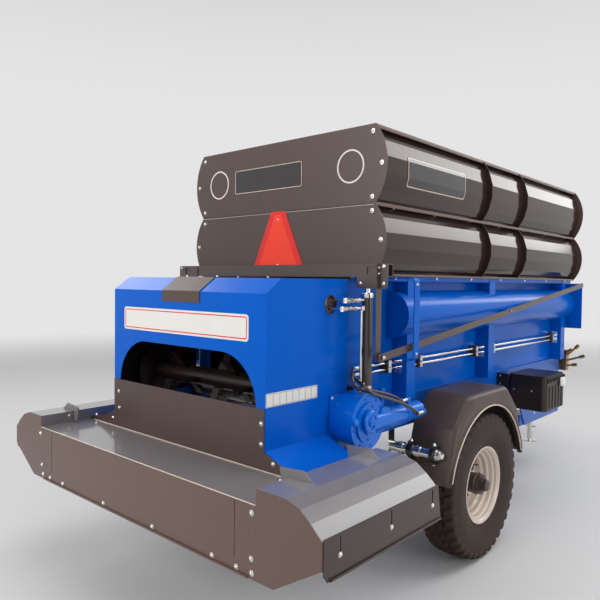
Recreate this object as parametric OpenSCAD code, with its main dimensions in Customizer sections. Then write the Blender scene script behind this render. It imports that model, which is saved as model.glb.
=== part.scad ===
// Fertilizer (manure) spreader: single-axle, towed, narrow orchard body with rear beaters,
// two spinner discs under a wide hood, and two bolted-on extension tiers.
// Millimetres. +X points forward to the towing eye, +Y to the machine's left, +Z up.
// The origin is on the ground under the middle of the whole machine.
// Inside the modules X is counted from the hopper's rear plane (see at_plate).

/* [Hopper body] */
// Length of the hopper from its rear plane to the headboard
hopper_len = 3056; // [2600:10:3800]
// Half the width over the side sheets
body_half_w = 565; // [480:5:620]
// Height of the body rim above the ground
rim_z = 1660; // [1560:10:1800]
// Height of the lip where a side sheet meets the frame rail
lip_z = 980; // [950:5:1040]
// Thickness of the body sheet
sheet_t = 4; // [3:0.5:6]
// How far the posts stand out from the side sheet
post_depth = 95; // [60:5:130]
// Width of a post along the machine
post_w = 90; // [60:5:120]

/* [Extension tiers] */
// Height of the lower tier
lower_tier_h = 369; // [250:5:450]
// Height of the upper tier
upper_tier_h = 403; // [250:5:500]
// Half the width of a tier at its top and bottom corners
tier_half_w = 677; // [620:5:760]
// How far a tier's side bulges out between its corners
tier_bulge = 71; // [30:5:120]
// How far the side sheet lies inside the edge of the end plates
tier_recess = 40; // [20:5:60]

/* [Side beams] */
// Radius of the half-round beam along each side
beam_r = 132; // [100:2:150]
// Height of the beam's centre line
beam_z = 1450; // [1400:5:1480]
// Distance of the beam's rear cap from the rear plane
beam_start = 286; // [200:10:500]

/* [Beater housing] */
// Length of the housing behind the hopper, measured to its rear plate
housing_back = 694; // [620:5:800]
// How far the beater housing's side stands out beyond the body's side (mm)
housing_step = 38; // [20:2:80]
// Distance from the rear plane to the front edge of the housing
housing_gap = 115; // [100:5:140]
// Half the flat top of the arched opening
arch_flat = 280; // [200:10:340]
// Height of the arched opening's top
arch_z = 1300; // [1200:10:1340]
// Radius of a beater over its blades
beater_r = 160; // [120:5:165]

/* [Hood over the spinner discs] */
// Distance from the rear plane back to the hood's rear panel
hood_back = 996; // [940:5:1100]
// Height of the flat deck
deck_z = 801; // [780:5:820]
// Half the overall width of the hood
hood_half_w = 1182; // [1080:5:1300]
// Half the width of the flat deck
deck_half_w = 861; // [800:5:900]
// Distance from the rear plane back to the front edge of the hood
hood_front = 224; // [180:5:300]
// Height of the rear panel's lower edge
hood_low_z = 515; // [480:5:560]
// Radius of a spinner disc
spinner_r = 300; // [240:5:330]
// How far the folded hems stand out from the rear panel and the side flaps
hem = 10; // [10:1:15]

/* [Rear gate] */
// How far the gate lifts
gate_lift = 400; // [300:10:420]
// Distance of the gate's plate behind the rear plane
gate_gap = 34; // [28:1:40]
// Width of the lifting crossbar, half
crossbar_half_w = 815; // [760:5:860]
// Outer radius of a lift cylinder
cylinder_r = 27; // [22:1:32]

/* [Wheels and axle] */
// Distance of the axle ahead of the rear plane
axle_x = 848; // [700:5:1100]
// Outer diameter of the tyre
tyre_d = 865; // [800:5:880]
// Width of the tyre
tyre_w = 235; // [200:5:250]
// Diameter of the rim at the bead seat
rim_d = 406; // [380:2:430]
// Half the track, to the middle of a tyre
track_half = 810; // [780:5:850]
// Side of the square axle beam
axle_side = 90; // [70:5:110]

/* [Drawbar and jack] */
// Distance from the headboard forward to the middle of the towing eye
drawbar_reach = 1304; // [1200:1:1600]
// Height of the drawbar's centre line
drawbar_z = 535; // [500:5:560]
// Bore of the towing eye
eye_bore = 50; // [40:1:55]
// Travel of the parking jack's leg
jack_travel = 250; // [150:10:260]

/* [Drive] */
// Radius of the conveyor gearbox drum
gearbox_r = 138; // [110:2:145]
// Diameter of the input shaft's splined end
pto_d = 34.9; // [34.9:0.1:44.4]

/* [Hidden] */
$fn = 48;
eps = 0.01;
run_gap = 0.05;    // radial clearance of a shaft in its bearing
seat_gap = 0.3;    // gap between curved pieces that sit on each other
housing_half_w = body_half_w + housing_step;
rail_t = 6;        // wall of the frame rails
rail_h = lip_z - deck_z;
rail_out = body_half_w + 20;
rail_w = 60;
rail_front = hopper_len - 40;
rail_back = housing_back - 30;
floor_z = lip_z + 10;
tier1_z = rim_z;
tier2_z = rim_z + lower_tier_h;
top_z = tier2_z + upper_tier_h;
eye_x = hopper_len + drawbar_reach;
eye_r = 60;
total_len = hood_back + hem + eye_x + eye_r;
plate_x = hood_back + hem - total_len / 2;
tyre_r = tyre_d / 2;
blue = [0.02, 0.22, 0.72];
grey = [0.30, 0.26, 0.25];
black = [0.07, 0.07, 0.07];

// ---------- small helpers ----------

// Moves what is drawn from the hopper's rear plane into the machine's frame
module at_plate() translate([plate_x, 0, 0]) children();

// Draws its children on the right side and mirrored on the left
module both_sides() for (s = [0, 1]) mirror([0, s, 0]) children();

// Extrudes a (y, z) outline from x0 to x1
module along_x(x0, x1) translate([x0, 0, 0]) rotate([90, 0, 90]) linear_extrude(x1 - x0) children();

// Extrudes an (x, z) outline from y0 to y1, y0 < y1
module along_y(y0, y1) translate([0, y1, 0]) rotate([90, 0, 0]) linear_extrude(y1 - y0) children();

// A box between two corners
module block(a, b) translate(a) cube(b - a);

// Round bar or tube between two heights, along Y or along X
module bar_y(x, z, y0, y1, r) translate([x, y1, z]) rotate([90, 0, 0]) cylinder(r = r, h = y1 - y0);
module bar_x(y, z, x0, x1, r) translate([x0, y, z]) rotate([0, 90, 0]) cylinder(r = r, h = x1 - x0);
module bar_z(x, y, z0, z1, r) translate([x, y, z0]) cylinder(r = r, h = z1 - z0);

// A rectangle between two corners with its corners rounded to radius r
module round_rect(a, b, r) {
    for (x = [a[0] + r, b[0] - r], y = [a[1] + r, b[1] - r]) translate([x, y]) circle(r);
    translate([a[0] + r, a[1]]) square([b[0] - a[0] - 2 * r, b[1] - a[1]]);
    translate([a[0], a[1] + r]) square([b[0] - a[0], b[1] - a[1] - 2 * r]);
}

// Normal of a segment and the mitred offset of a point on a bent line
function seg_n(a, b) = let (d = b - a) [-d[1], d[0]] / norm(d);
function mitre(p, i, t) =
    let (
        n1 = i == 0 ? seg_n(p[0], p[1]) : seg_n(p[i - 1], p[i]),
        n2 = i == len(p) - 1 ? n1 : seg_n(p[i], p[i + 1])
    )
    p[i] + (n1 + n2) * t / (1 + n1 * n2);

// Closed outline of a sheet of thickness t folded along the points p
function folded(p, t) = concat(p, [for (i = [len(p) - 1:-1:0]) mitre(p, i, t)]);

// A bent line with its inner corners rounded to radius r in n steps
function rounded(p, r, n) = [for (i = [0:len(p) - 1])
    each i == 0 || i == len(p) - 1 ? [p[i]] :
        let (
            u = (p[i] - p[i - 1]) / norm(p[i] - p[i - 1]),
            v = (p[i + 1] - p[i]) / norm(p[i + 1] - p[i]),
            turn = atan2(u[0] * v[1] - u[1] * v[0], u * v),
            side = sign(turn),
            c = p[i] - u * r * tan(abs(turn) / 2) + [-u[1], u[0]] * r * side,
            a0 = atan2(u[1], u[0]) - 90 * side
        )
        arc(c, r, a0, a0 + turn, n)];

// Points on an arc about c from angle a0 to a1 in n steps
function arc(c, r, a0, a1, n) = [for (i = [0:n]) let (a = a0 + (a1 - a0) * i / n) c + r * [cos(a), sin(a)]];

// ---------- frame ----------

cross_x = [-rail_back + 4, 120, axle_x - 148, axle_x + 148, hopper_len - 1156, hopper_len - 156];
cross_w = 60;
cross_h = 40;
hanger_x = [140, hopper_len - 1136, hopper_len - 126];
hanger_t = 20;
bearing_half = 45;
// plates under the rails that carry the drawbar
front_plate_x = hopper_len - 956;
front_plate_y = 565;

module rail_section()
    polygon([[-rail_out, deck_z], [-rail_out, lip_z], [-rail_out + rail_w, lip_z],
             [-rail_out + rail_w, lip_z - rail_t], [-rail_out + rail_t, lip_z - rail_t],
             [-rail_out + rail_t, deck_z + rail_t], [-rail_out + rail_w, deck_z + rail_t],
             [-rail_out + rail_w, deck_z]]);

module chassis_frame() at_plate() color(blue) {
    difference() {
        union() {
            both_sides() along_x(-rail_back, rail_front) rail_section();
            both_sides() for (x = [drive_x, chain_front])
                block([x - bearing_half, -rail_out + rail_t - eps, drive_z - bearing_half + 5],
                      [x + bearing_half, -rail_out + 34, lip_z - rail_t + eps]);
        }
        for (x = [drive_x, chain_front])
            bar_y(x, drive_z, -shaft_end, shaft_end, drive_shaft_r + run_gap);
        bar_y(drive_x, drive_z, -rail_out - 1, -shaft_end, drive_shaft_r + 2);
    }
    both_sides() along_y(-front_plate_y - 10, -front_plate_y)
        polygon([[front_plate_x, deck_z + eps], [front_plate_x + 190, drawbar_z - drawbar_side / 2],
                 [hopper_len, drawbar_z - drawbar_side / 2], [hopper_len, deck_z - 90],
                 [rail_front, deck_z + eps]]);
}

// Bars between the rails; some carry a hanger for the input shaft under the floor
module cross_members() at_plate() color(blue) {
    cross_low = deck_z + rail_t;
    for (x = cross_x)
        block([x, -rail_out + rail_t, cross_low], [x + cross_w, rail_out - rail_t, cross_low + cross_h]);
    for (x = hanger_x) difference() {
        along_x(x, x + hanger_t) {
            translate([0, line_z]) circle(bearing_half);
            translate([-bearing_half, line_z]) square([2 * bearing_half, cross_low + eps - line_z]);
        }
        bar_x(0, line_z, x - 1, x + hanger_t + 1, line_r + run_gap);
    }
}

module axle() at_plate() {
    color(blue) {
        block([axle_x - axle_side / 2, -axle_in, tyre_r - axle_side / 2],
              [axle_x + axle_side / 2, axle_in, tyre_r + axle_side / 2]);
        both_sides() {
            for (x = [axle_x - 150, axle_x + 138])
                block([x, -rail_out, tyre_r], [x + 12, -rail_out + rail_w, deck_z]);
            block([axle_x - 150, -rail_out, tyre_r - 20], [axle_x + 150, -rail_out + rail_w, tyre_r + 100]);
        }
    }
    color(grey) both_sides() bar_y(axle_x, tyre_r, -spindle_end, -axle_in + eps, spindle_r);
}
axle_in = track_half - 60;
spindle_r = 30;
spindle_end = track_half + 60;

drawbar_side = 90;
beam_from = [hopper_len - 456, front_plate_y - drawbar_side / 2];
beam_to = [eye_x - 180, 55];
head_plate_t = 10;
// Middle of a drawbar beam at a place along the machine
function beam_mid(x) =
    beam_from[1] + (beam_to[1] - beam_from[1]) * (x - beam_from[0]) / (beam_to[0] - beam_from[0]);

// Two beams run under the rails and meet at the head plates, with a cross beam under the headboard
module drawbar() at_plate() color(blue) {
    half = drawbar_side / 2;
    z0 = drawbar_z - half;
    difference() {
        translate([0, 0, z0]) linear_extrude(drawbar_side) both_mirrored_2d() {
            polygon([beam_from + [0, half], beam_to + [0, half], beam_to - [0, half], beam_from - [0, half]]);
            translate(beam_from - [390, half]) square([390 + eps, drawbar_side]);
        }
        block([beam_to[0] - 1, -300, 0], [eye_x, 300, 900]);
    }
    front_mid = beam_mid(hopper_len);
    block([hopper_len - 60, -front_mid, z0], [hopper_len, front_mid, z0 + drawbar_side]);
    for (z = [z0 - head_plate_t, z0 + drawbar_side])
        translate([0, 0, z]) linear_extrude(head_plate_t)
            polygon([[beam_to[0] - 300, -130], [beam_to[0], -95], [beam_to[0], 95], [beam_to[0] - 300, 130]]);
    block([beam_to[0] - 12, -95, z0 - head_plate_t], [beam_to[0], 95, z0 + drawbar_side + head_plate_t]);
}
module both_mirrored_2d() for (s = [0, 1]) mirror([0, s]) children();

module towing_eye() at_plate() color(black) difference() {
    union() {
        bar_z(eye_x, 0, drawbar_z - 16, drawbar_z + 16, eye_r);
        block([eye_x - 168, -35, drawbar_z - 16], [eye_x - 40, 35, drawbar_z + 16]);
        for (y = [-35, 25]) along_y(y, y + 10)
            polygon([[eye_x - 162, drawbar_z - 45], [eye_x - 162, drawbar_z + 45],
                     [eye_x - 60, drawbar_z + 15], [eye_x - 60, drawbar_z - 15]]);
        along_x(eye_x - 180, eye_x - 160) round_rect([-70, drawbar_z - 50], [70, drawbar_z + 50], 15);
    }
    bar_z(eye_x, 0, 0, 900, eye_bore / 2);
}

jack_x = eye_x - 630;
jack_y = -70;
jack_r = 30;
jack_wall = 4;
jack_low = 425;
jack_top = 860;
jack_foot_t = 10;
jack_pin_z = 150;
module jack_tube() at_plate() color(black) {
    difference() {
        union() {
            bar_z(jack_x, jack_y, jack_low, jack_top, jack_r);
            // bracket between the tube and the right drawbar beam
            translate([0, 0, drawbar_z - drawbar_side / 2]) linear_extrude(drawbar_side)
                polygon([[jack_x - 40, jack_y], [jack_x + 40, jack_y],
                         for (x = [jack_x + 40, jack_x - 40]) [x, -beam_mid(x) + drawbar_side / 2]]);
        }
        bar_z(jack_x, jack_y, jack_low - 1, jack_top - 10, jack_r - jack_wall);
    }
    // crank on top of the tube
    bar_z(jack_x, jack_y, jack_top - eps, jack_top + 40, 12);
    bar_x(jack_y, jack_top + 32, jack_x - 150, jack_x + eps, 8);
    bar_z(jack_x - 150, jack_y, jack_top + 24, jack_top + 110, 10);
}
module jack_leg() at_plate() color("silver") {
    bar_z(jack_x, jack_y, jack_foot_t - eps, jack_top - 40 - jack_travel, jack_r - jack_wall - run_gap);
    bar_y(jack_x, jack_pin_z, jack_y - 60, jack_y + 40, 8);
    translate([jack_x, jack_y, 0]) rotate_extrude()
        polygon([[0, 4], [60, 4], [66, 0], [75, 0], [75, 6], [62, jack_foot_t], [0, jack_foot_t]]);
}

// ---------- hopper ----------

post_x = [355, 1400, hopper_len - 225];
module side_walls() at_plate() color(blue) {
    both_sides() {
        block([0, -body_half_w, lip_z], [hopper_len, -body_half_w + sheet_t, rim_z]);
        block([-housing_gap, -body_half_w, lip_z], [eps, -body_half_w + sheet_t, rim_z - rim_lip]);
        along_x(-20, hopper_len) polygon(folded(
            [[-body_half_w + eps, rim_z], [-tier_half_w + 20, rim_z],
             [-tier_half_w + 20, rim_z - rim_lip]], sheet_t));
        for (x = post_x) post(x);
    }
    // strap that guides the indicator bar on the right side
    strap = [[-body_half_w + eps, strap_low], [-strap_out, strap_low], [-strap_out, strap_high],
             [-tier_half_w + 22, strap_high]];
    along_x(strap_x, strap_x + strap_w) polygon(folded(rounded(strap, 20, 4), strap_t));
}
strap_x = 172;
strap_w = 50;
strap_t = 6;
strap_out = 808;
strap_low = 1229;
strap_high = rim_z - 10;
rim_lip = 25;
beam_y = body_half_w + 15;

// A channel post, open to the front, with a square hole for the pipes in its rear web
module post(x) difference() {
    block([x, -body_half_w - post_depth, lip_z], [x + post_w, -body_half_w + eps, rim_z - sheet_t + eps]);
    intersection() {
        bar_x(-beam_y, beam_z, x - 1, x + post_w + 1, beam_r + seat_gap);
        block([x - 1, -2000, 0], [x + post_w + 1, -body_half_w, 3000]);
    }
    block([x + sheet_t, -body_half_w - post_depth + sheet_t, lip_z - 1],
          [x + post_w + 1, -body_half_w, rim_z - sheet_t]);
    block([x - 1, -pipe_y - 24, pipe_z - 50], [x + sheet_t + 1, -pipe_y + 24, pipe_z + 50]);
}
pipe_y = body_half_w + 40;
pipe_z = 1170;

module side_beams() at_plate() color(blue) both_sides() {
    difference() {
        union() {
            bar_x(-beam_y, beam_z, beam_start, hopper_len - 60, beam_r);
            block([hopper_len - 64, -beam_plate_y, beam_z - 205],
                  [hopper_len - 56, -body_half_w - seat_gap, rim_z - rim_lip - 1]);
        }
        block([0, -body_half_w - seat_gap, 1000], [hopper_len, 0, rim_z]);
    }
    // boss and pin that the indicator bar turns on
    translate([0, -beam_y, 0]) {
        bar_y(pivot_x, pivot_z, beam_y - bar_y_out + bar_t + 1, -beam_r + 20, 20);
        bar_y(pivot_x, pivot_z, beam_y - bar_y_out - 6, -beam_r + 20, pin_r);
    }
}
pin_r = 8;
beam_plate_y = 775;

module headboard() at_plate() color(blue) {
    block([hopper_len - sheet_t, -body_half_w + sheet_t, lip_z], [hopper_len, body_half_w - sheet_t, rim_z]);
    for (y = [-330, 0, 330])
        block([hopper_len - eps, y - 30, lip_z], [hopper_len + 50, y + 30, rim_z - 40]);
    block([hopper_len - eps, -body_half_w + 10, rim_z - 50], [hopper_len + 50, body_half_w - 10, rim_z]);
}

module floor_pan() at_plate() color(grey)
    block([drive_x + chain_r + 15, -body_half_w + sheet_t + seat_gap, lip_z],
          [chain_front - chain_r - 15, body_half_w - sheet_t - seat_gap, floor_z]);

chain_y = 330;
chain_w = 30;
chain_front = hopper_len - 100;
drive_x = -130;
drive_z = lip_z - 35;
drive_shaft_r = 25;
shaft_end = rail_out - rail_t - 4;
sprocket_r = 55;
chain_h = 22;
chain_r = sprocket_r + chain_h;
slat_pitch = 300;
slat_w = 40;
slat_t = 6;
slat_half = rail_out - rail_w - 10;
slat_top = drive_z + chain_r + slat_t;
module floor_chain() at_plate() color("dimgray") both_sides() difference() {
    along_y(chain_y - chain_w / 2, chain_y + chain_w / 2) chain_loop(chain_r);
    along_y(chain_y - chain_w, chain_y + chain_w) chain_loop(sprocket_r);
}

// Angle bars that lie on both chains, notched round them, on the upper and the lower run
module slat() difference() {
    along_y(-slat_half, slat_half)
        polygon(folded([[slat_w, chain_r], [0, chain_r], [0, floor_z + 1 - drive_z]], -slat_t));
    notch = chain_w / 2 + 1;
    for (y = [-chain_y, chain_y]) block([-slat_t - 1, y - notch, 0], [slat_w + 1, y + notch, chain_r]);
}
module floor_slats() at_plate() color("dimgray")
    for (x = [drive_x + slat_pitch / 2:slat_pitch:chain_front - slat_w], turn = [0, 180])
        translate([x + slat_w / 2, 0, drive_z]) rotate([0, turn, 0]) translate([-slat_w / 2, 0, 0]) slat();

module conveyor_shafts() at_plate() color("silver") for (x = [drive_x, chain_front]) {
    bar_y(x, drive_z, -shaft_end + 1, shaft_end - 1, drive_shaft_r);
    for (y = [-chain_y, chain_y]) {
        bar_y(x, drive_z, y - 8, y + 8, sprocket_r - seat_gap);
        bar_y(x, drive_z, y - 25, y + 25, 38);
    }
}
module chain_loop(r) {
    for (x = [drive_x, chain_front]) translate([x, drive_z]) circle(r);
    translate([drive_x, drive_z - r]) square([chain_front - drive_x, 2 * r]);
}

// ---------- extension tiers ----------

// Outline of one side edge of a tier: straight corners joined by a shallow arc
function tier_edge(z0, h, w, bulge) =
    let (r = (h * h / 4 + bulge * bulge) / (2 * bulge), a = asin(h / 2 / r))
    arc([w + bulge - r, z0 + h / 2], r, -a, a, 5);

// End plate: a band between two heights, its ends rounded by large circles
module tier_outline(z0, h, w) intersection() {
    r = (h * h / 4 + tier_bulge * tier_bulge) / (2 * tier_bulge);
    translate([-2 * w, z0]) square([4 * w, h]);
    union() {
        for (s = [-1, 1]) translate([s * (w + tier_bulge - r), z0 + h / 2]) circle(r, $fn = 96);
        translate([-w - tier_bulge + r, z0]) square([2 * (w + tier_bulge - r), h]);
    }
}

tier_plate_t = 6;
module tier_plates(z0, h) at_plate() color(grey)
    for (x = [0, hopper_len - tier_plate_t])
        along_x(x, x + tier_plate_t) tier_outline(z0, h, tier_half_w);

tier_rib_x = [1229, 1823];
module tier_sides(z0, h) at_plate() color(grey) both_sides() {
    edge = [for (p = tier_edge(z0, h, tier_half_w, tier_bulge)) [-p[0] + tier_recess, p[1]]];
    line = concat([[-tier_half_w + 4, z0]], edge, [[-tier_half_w + 4, z0 + h]]);
    along_x(tier_plate_t, hopper_len - tier_plate_t) polygon(folded(line, sheet_t));
    for (x = tier_rib_x) along_x(x - 3, x + 3) polygon(concat(
        [for (p = tier_edge(z0 + 2, h - 4, tier_half_w - 2, tier_bulge)) [-p[0], p[1]]],
        [for (i = [5:-1:0]) edge[i] + [-eps, 0]]));
}
module lower_tier_plates() tier_plates(tier1_z, lower_tier_h);
module lower_tier_sides() tier_sides(tier1_z, lower_tier_h);
module upper_tier_plates() tier_plates(tier2_z, upper_tier_h);
module upper_tier_sides() tier_sides(tier2_z, upper_tier_h);

module warning_triangle() at_plate() color("orangered")
    along_x(-3 - seat_gap, -seat_gap)
        polygon([[-212, rim_z + 20], [212, rim_z + 20], [54, tier2_z + 3], [-54, tier2_z + 3]]);

// ---------- beater housing ----------

housing_top = rim_z - 17;
housing_bend = rim_z - 85;
housing_low = deck_z + seat_gap;
chamfer_run = 95;
bearing_deep = 30;
// Line of the housing's rear and roof, from the deck to the hopper
housing_line = [[-housing_back, housing_low], [-housing_back, housing_bend],
                [-housing_back + chamfer_run, housing_top], [-housing_gap, housing_top]];

// Bent sheet with the arched opening
module beater_housing() at_plate() color(blue) difference() {
    half = housing_half_w - sheet_t;
    along_y(-half, half) polygon(folded(housing_line, -sheet_t));
    along_x(-housing_back - 1, -housing_back + 50) arch_opening();
}

// Side plates with the ports, the skirts and the beaters' bearings
module housing_sides() at_plate() color(blue) both_sides() {
    difference() {
        along_y(-housing_half_w, -housing_half_w + sheet_t)
            polygon(concat(housing_line, [[-housing_gap, housing_low]]));
        bar_y(drive_x, drive_z, -housing_half_w - 1, -housing_half_w + sheet_t + 1, drive_shaft_r + 2);
        bar_y(port_x, port_z, -housing_half_w - 1, -housing_half_w + sheet_t + 1, port_r);
    }
    skirt();
    for (z = beater_zs) difference() {
        bar_y(beater_x, z, -housing_half_w + eps, -beater_end + bearing_deep, 60);
        bar_y(beater_x, z, -beater_end - 1, -beater_end + bearing_deep + 1, beater_shaft_r + run_gap);
    }
}
port_x = -255;
port_z = 1518;
port_r = 43;
arch_r = 240;
module arch_opening() {
    w = arch_flat + arch_r + 25;
    translate([-w, closure_z - 120]) square([2 * w, arch_z - arch_r - closure_z + 120]);
    translate([-arch_flat - 25, closure_z - 120]) square([2 * (arch_flat + 25), arch_z - closure_z + 120]);
    for (s = [-1, 1]) translate([s * (w - arch_r), arch_z - arch_r]) circle(arch_r);
}
closure_z = 1071;
// Flared lower edge outside the housing, falling to the deck
skirt_front = hood_front + 50;
module skirt() along_x(-housing_back, -skirt_front)
    polygon(folded([[-housing_half_w, deck_z + 84], [-housing_half_w - 190, deck_z + seat_gap]], -sheet_t));

module closure_plate() at_plate() color(grey) {
    block([-housing_back - sheet_t - seat_gap, -housing_half_w + 4, deck_z + seat_gap],
          [-housing_back - seat_gap, housing_half_w - 4, closure_z]);
    both_sides() {
        along_x(-housing_back - sheet_t - seat_gap, -housing_back - seat_gap) fin(-housing_half_w + 5);
        along_x(-skirt_front + seat_gap, -skirt_front + seat_gap + sheet_t) fin(-housing_half_w - seat_gap);
    }
}
// Gusset that closes the end of the skirt: falls from the housing's side to the deck's edge
module fin(y) polygon([[y, deck_z + seat_gap], [y, deck_z + 84], [-housing_half_w - 85, deck_z + 50],
                       [-deck_half_w + 5, deck_z + 10], [-deck_half_w + 5, deck_z + seat_gap]]);

visor_half_w = 150;
module visor() at_plate() color(grey) {
    line = [[-housing_back - seat_gap, housing_bend - 55], [-housing_back - seat_gap, housing_bend],
            [-housing_back + chamfer_run, housing_top + seat_gap],
            [-housing_gap - 20, housing_top + seat_gap]];
    along_y(-visor_half_w, visor_half_w) polygon(folded(line, sheet_t));
}

beater_x = -430;
beater_zs = [1105, 1440];
beater_shaft_r = 30;
beater_tube_r = 50;
beater_end = housing_half_w - sheet_t - 40;
blade_pitch = 140;
// A knife with a notched tip, bolted to a lug on the tube
module knife() {
    block([-5, -34, beater_tube_r - 8], [5, 34, beater_tube_r + 38]);
    translate([13 - eps, 0, 0]) rotate([0, -90, 0]) linear_extrude(8)
        polygon([[beater_tube_r + 6, -26], [beater_r - 3, -30], [beater_r - 22, -6], [beater_r - 3, 30],
                 [beater_tube_r + 6, 26]]);
}
// A beater: tube on a shaft, end discs, and knives set along a double helix
module beater(z, turn) translate([beater_x, 0, z]) {
    rotate([90, 0, 0]) {
        translate([0, 0, -beater_end]) cylinder(r = beater_shaft_r, h = 2 * beater_end);
        translate([0, 0, -beater_end + 45]) cylinder(r = beater_tube_r, h = 2 * (beater_end - 45));
        for (s = [-1, 1]) translate([0, 0, s * (beater_end - 45) - 3]) cylinder(r = beater_r - 1, h = 6);
    }
    for (k = [-3:3], s = [0, 180])
        translate([0, blade_pitch * k, 0]) rotate([0, turn + 60 * k + s, 0]) knife();
}
module lower_beater() at_plate() color(grey) beater(beater_zs[0], 20);
module upper_beater() at_plate() color(grey) beater(beater_zs[1], -20);

// ---------- hood ----------

cover_y = -hood_half_w + sheet_t + seat_gap;
cover_line = [[-deck_half_w, deck_z - sheet_t], [-deck_half_w, deck_z + 60], [-1005, deck_z + 60],
              [-1075, deck_z + 39], [-1126, deck_z + 2], [cover_y, deck_z - 46], [cover_y, deck_z - 150]];

module hood_deck() at_plate() color(grey) difference() {
    block([-hood_back + sheet_t, -deck_half_w + seat_gap, deck_z - sheet_t],
          [-hood_front, deck_half_w - seat_gap, deck_z]);
    block([-housing_back + 30, -rail_out + rail_w - eps, deck_z - 20],
          [0, rail_out - rail_w + eps, deck_z + 20]);
}

panel_half_w = 820;
// Outline of a sheet's hem, folded outward along its lower edge: x outward, y up
module hem_fold() translate([0, sheet_t]) {
    circle(sheet_t);
    polygon([[0, -sheet_t], [hem - sheet_t, -sheet_t], [hem - sheet_t, sheet_t], [0, sheet_t]]);
    translate([hem - sheet_t, 0]) circle(sheet_t);
}

module hood_rear_panel() at_plate() color(grey) {
    block([-hood_back, -panel_half_w, hood_low_z], [-hood_back + sheet_t, panel_half_w, deck_z]);
    translate([-hood_back, 0, hood_low_z]) along_y(-panel_half_w, panel_half_w) mirror([1, 0]) hem_fold();
}

module hood_end_plates() at_plate() color(grey) both_sides()
    along_x(-hood_back, -hood_back + sheet_t)
        polygon([[-panel_half_w - seat_gap, hood_low_z],
                 [-panel_half_w - seat_gap, deck_z - sheet_t - seat_gap],
                 [-deck_half_w + seat_gap, deck_z - sheet_t - seat_gap],
                 [-deck_half_w + seat_gap, deck_z + 60],
                 [-1005, deck_z + 60], [-1075, deck_z + 39], [-1126, deck_z + 2],
                 [cover_y, deck_z - 46], [cover_y, deck_z - 145], [-953, hood_low_z]]);

module side_covers() at_plate() color(grey) both_sides()
    along_x(-hood_back + sheet_t, -hood_front) polygon(folded(cover_line, sheet_t));

// Upright fins on the covers' inner edges, with a foot that reaches down beside the wall
fin_xs = [-808, -368];
fin_t = 5;
module cover_fins() at_plate() color(grey) both_sides() for (x = fin_xs) along_x(x, x + fin_t)
    polygon([[-800, deck_z + 89], [-925, deck_z + 99], [-978, deck_z + 60 + seat_gap],
             [-deck_half_w + 4, deck_z + 60 + seat_gap], [-deck_half_w + 4, deck_z + 7], [-815, deck_z + 7]]);

// Flaps hang outside the covers from three bolts in upright slots
flap_bolt_x = [-902, -581, -268];
slot_r = 5;
module side_flaps() at_plate() color(grey) both_sides() {
    difference() {
        along_y(-hood_half_w, -hood_half_w + sheet_t)
            polygon([[-hood_back + 6, deck_z - 39], [-hood_front + 5, deck_z - 39],
                     [-hood_front + 30, flap_low], [-hood_back + 26, flap_low],
                     [-hood_back + 6, flap_low + 27]]);
        for (x = flap_bolt_x) along_y(-hood_half_w - 1, -hood_half_w + sheet_t + 1)
            round_rect([x - slot_r, deck_z - 121], [x + slot_r, deck_z - 48], slot_r - eps);
    }
    translate([0, -hood_half_w, flap_low]) along_x(-hood_back + 40, -hood_front + 20)
        mirror([1, 0]) hem_fold();
}
flap_low = deck_z - 192;

// ---------- spinner discs and their drive ----------

spinner_x = -600;
spinner_y = 345;
spinner_z = 700;
line_z = 640;
gear_side = 150;
gear_half_h = 45;
arm_h = 40;
line_r = 30;
arm_x = -240;
module spinner_drive() at_plate() color(blue) {
    for (y = [-spinner_y, 0, spinner_y]) {
        translate([0, 0, line_z - gear_half_h]) linear_extrude(2 * gear_half_h)
            round_rect([spinner_x - gear_side / 2, y - gear_side / 2],
                       [spinner_x + gear_side / 2, y + gear_side / 2], 20);
        bar_z(spinner_x, y, line_z - gear_half_h - 8, line_z - gear_half_h + eps, 50);
    }
    bar_y(spinner_x, line_z, -spinner_y, spinner_y, 38);
    both_sides() {
        block([spinner_x + 60, -spinner_y - 20, line_z - arm_h], [arm_x, -spinner_y + 20, line_z]);
        block([arm_x - 40, -rail_out + rail_w, line_z - arm_h], [arm_x, -spinner_y, line_z]);
        block([arm_x - 40, -rail_out + rail_w, line_z - arm_h],
              [arm_x, -rail_out + rail_w + 10, deck_z + rail_t]);
    }
}
// A dished disc on a hub, with six vanes of angle section set back from the radius
module spinner() {
    vane_low = spinner_z + 4;
    foot_z = line_z + gear_half_h + seat_gap;
    rotate_extrude() polygon([[0, foot_z], [20, foot_z], [20, spinner_z - 2], [55, spinner_z - 2],
        [55, spinner_z], [130, spinner_z], [spinner_r, spinner_z + 8], [spinner_r, spinner_z + 12],
        [130, spinner_z + 5], [45, spinner_z + 5], [38, spinner_z + 22], [0, spinner_z + 22]]);
    for (a = [0:60:300]) rotate([0, 0, a]) translate([52, 0, 0]) rotate([0, 0, -12]) {
        block([0, -4, vane_low], [spinner_r - 62, 0, spinner_z + 55]);
        block([0, -4, spinner_z + 51], [spinner_r - 62, 16, spinner_z + 55]);
    }
}
module spinner_right() at_plate() color("silver") translate([spinner_x, -spinner_y, 0]) spinner();
module spinner_left() at_plate() color("silver") translate([spinner_x, spinner_y, 0]) spinner();

shaft_front = hopper_len + 200;
module input_shaft() at_plate() color("silver") {
    bar_x(0, line_z, spinner_x + gear_side / 2 + seat_gap, shaft_front - 90, line_r);
    bar_x(0, line_z, shaft_front - 90 - eps, shaft_front, pto_d / 2);
}

// ---------- gate ----------

gate_t = 5;
crossbar_z = rim_z + 60;
crossbar_deep = 45;
crossbar_h = 65;
cylinder_x = -gate_gap - crossbar_deep / 2;
cylinder_y = 680;
barrel_low = 1095;
barrel_top = 1575;
module gate_plate() at_plate() color(grey)
    block([-gate_gap - gate_t, -body_half_w + 10, slat_top + 8],
          [-gate_gap, body_half_w - 10, crossbar_z - crossbar_h]);

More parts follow.
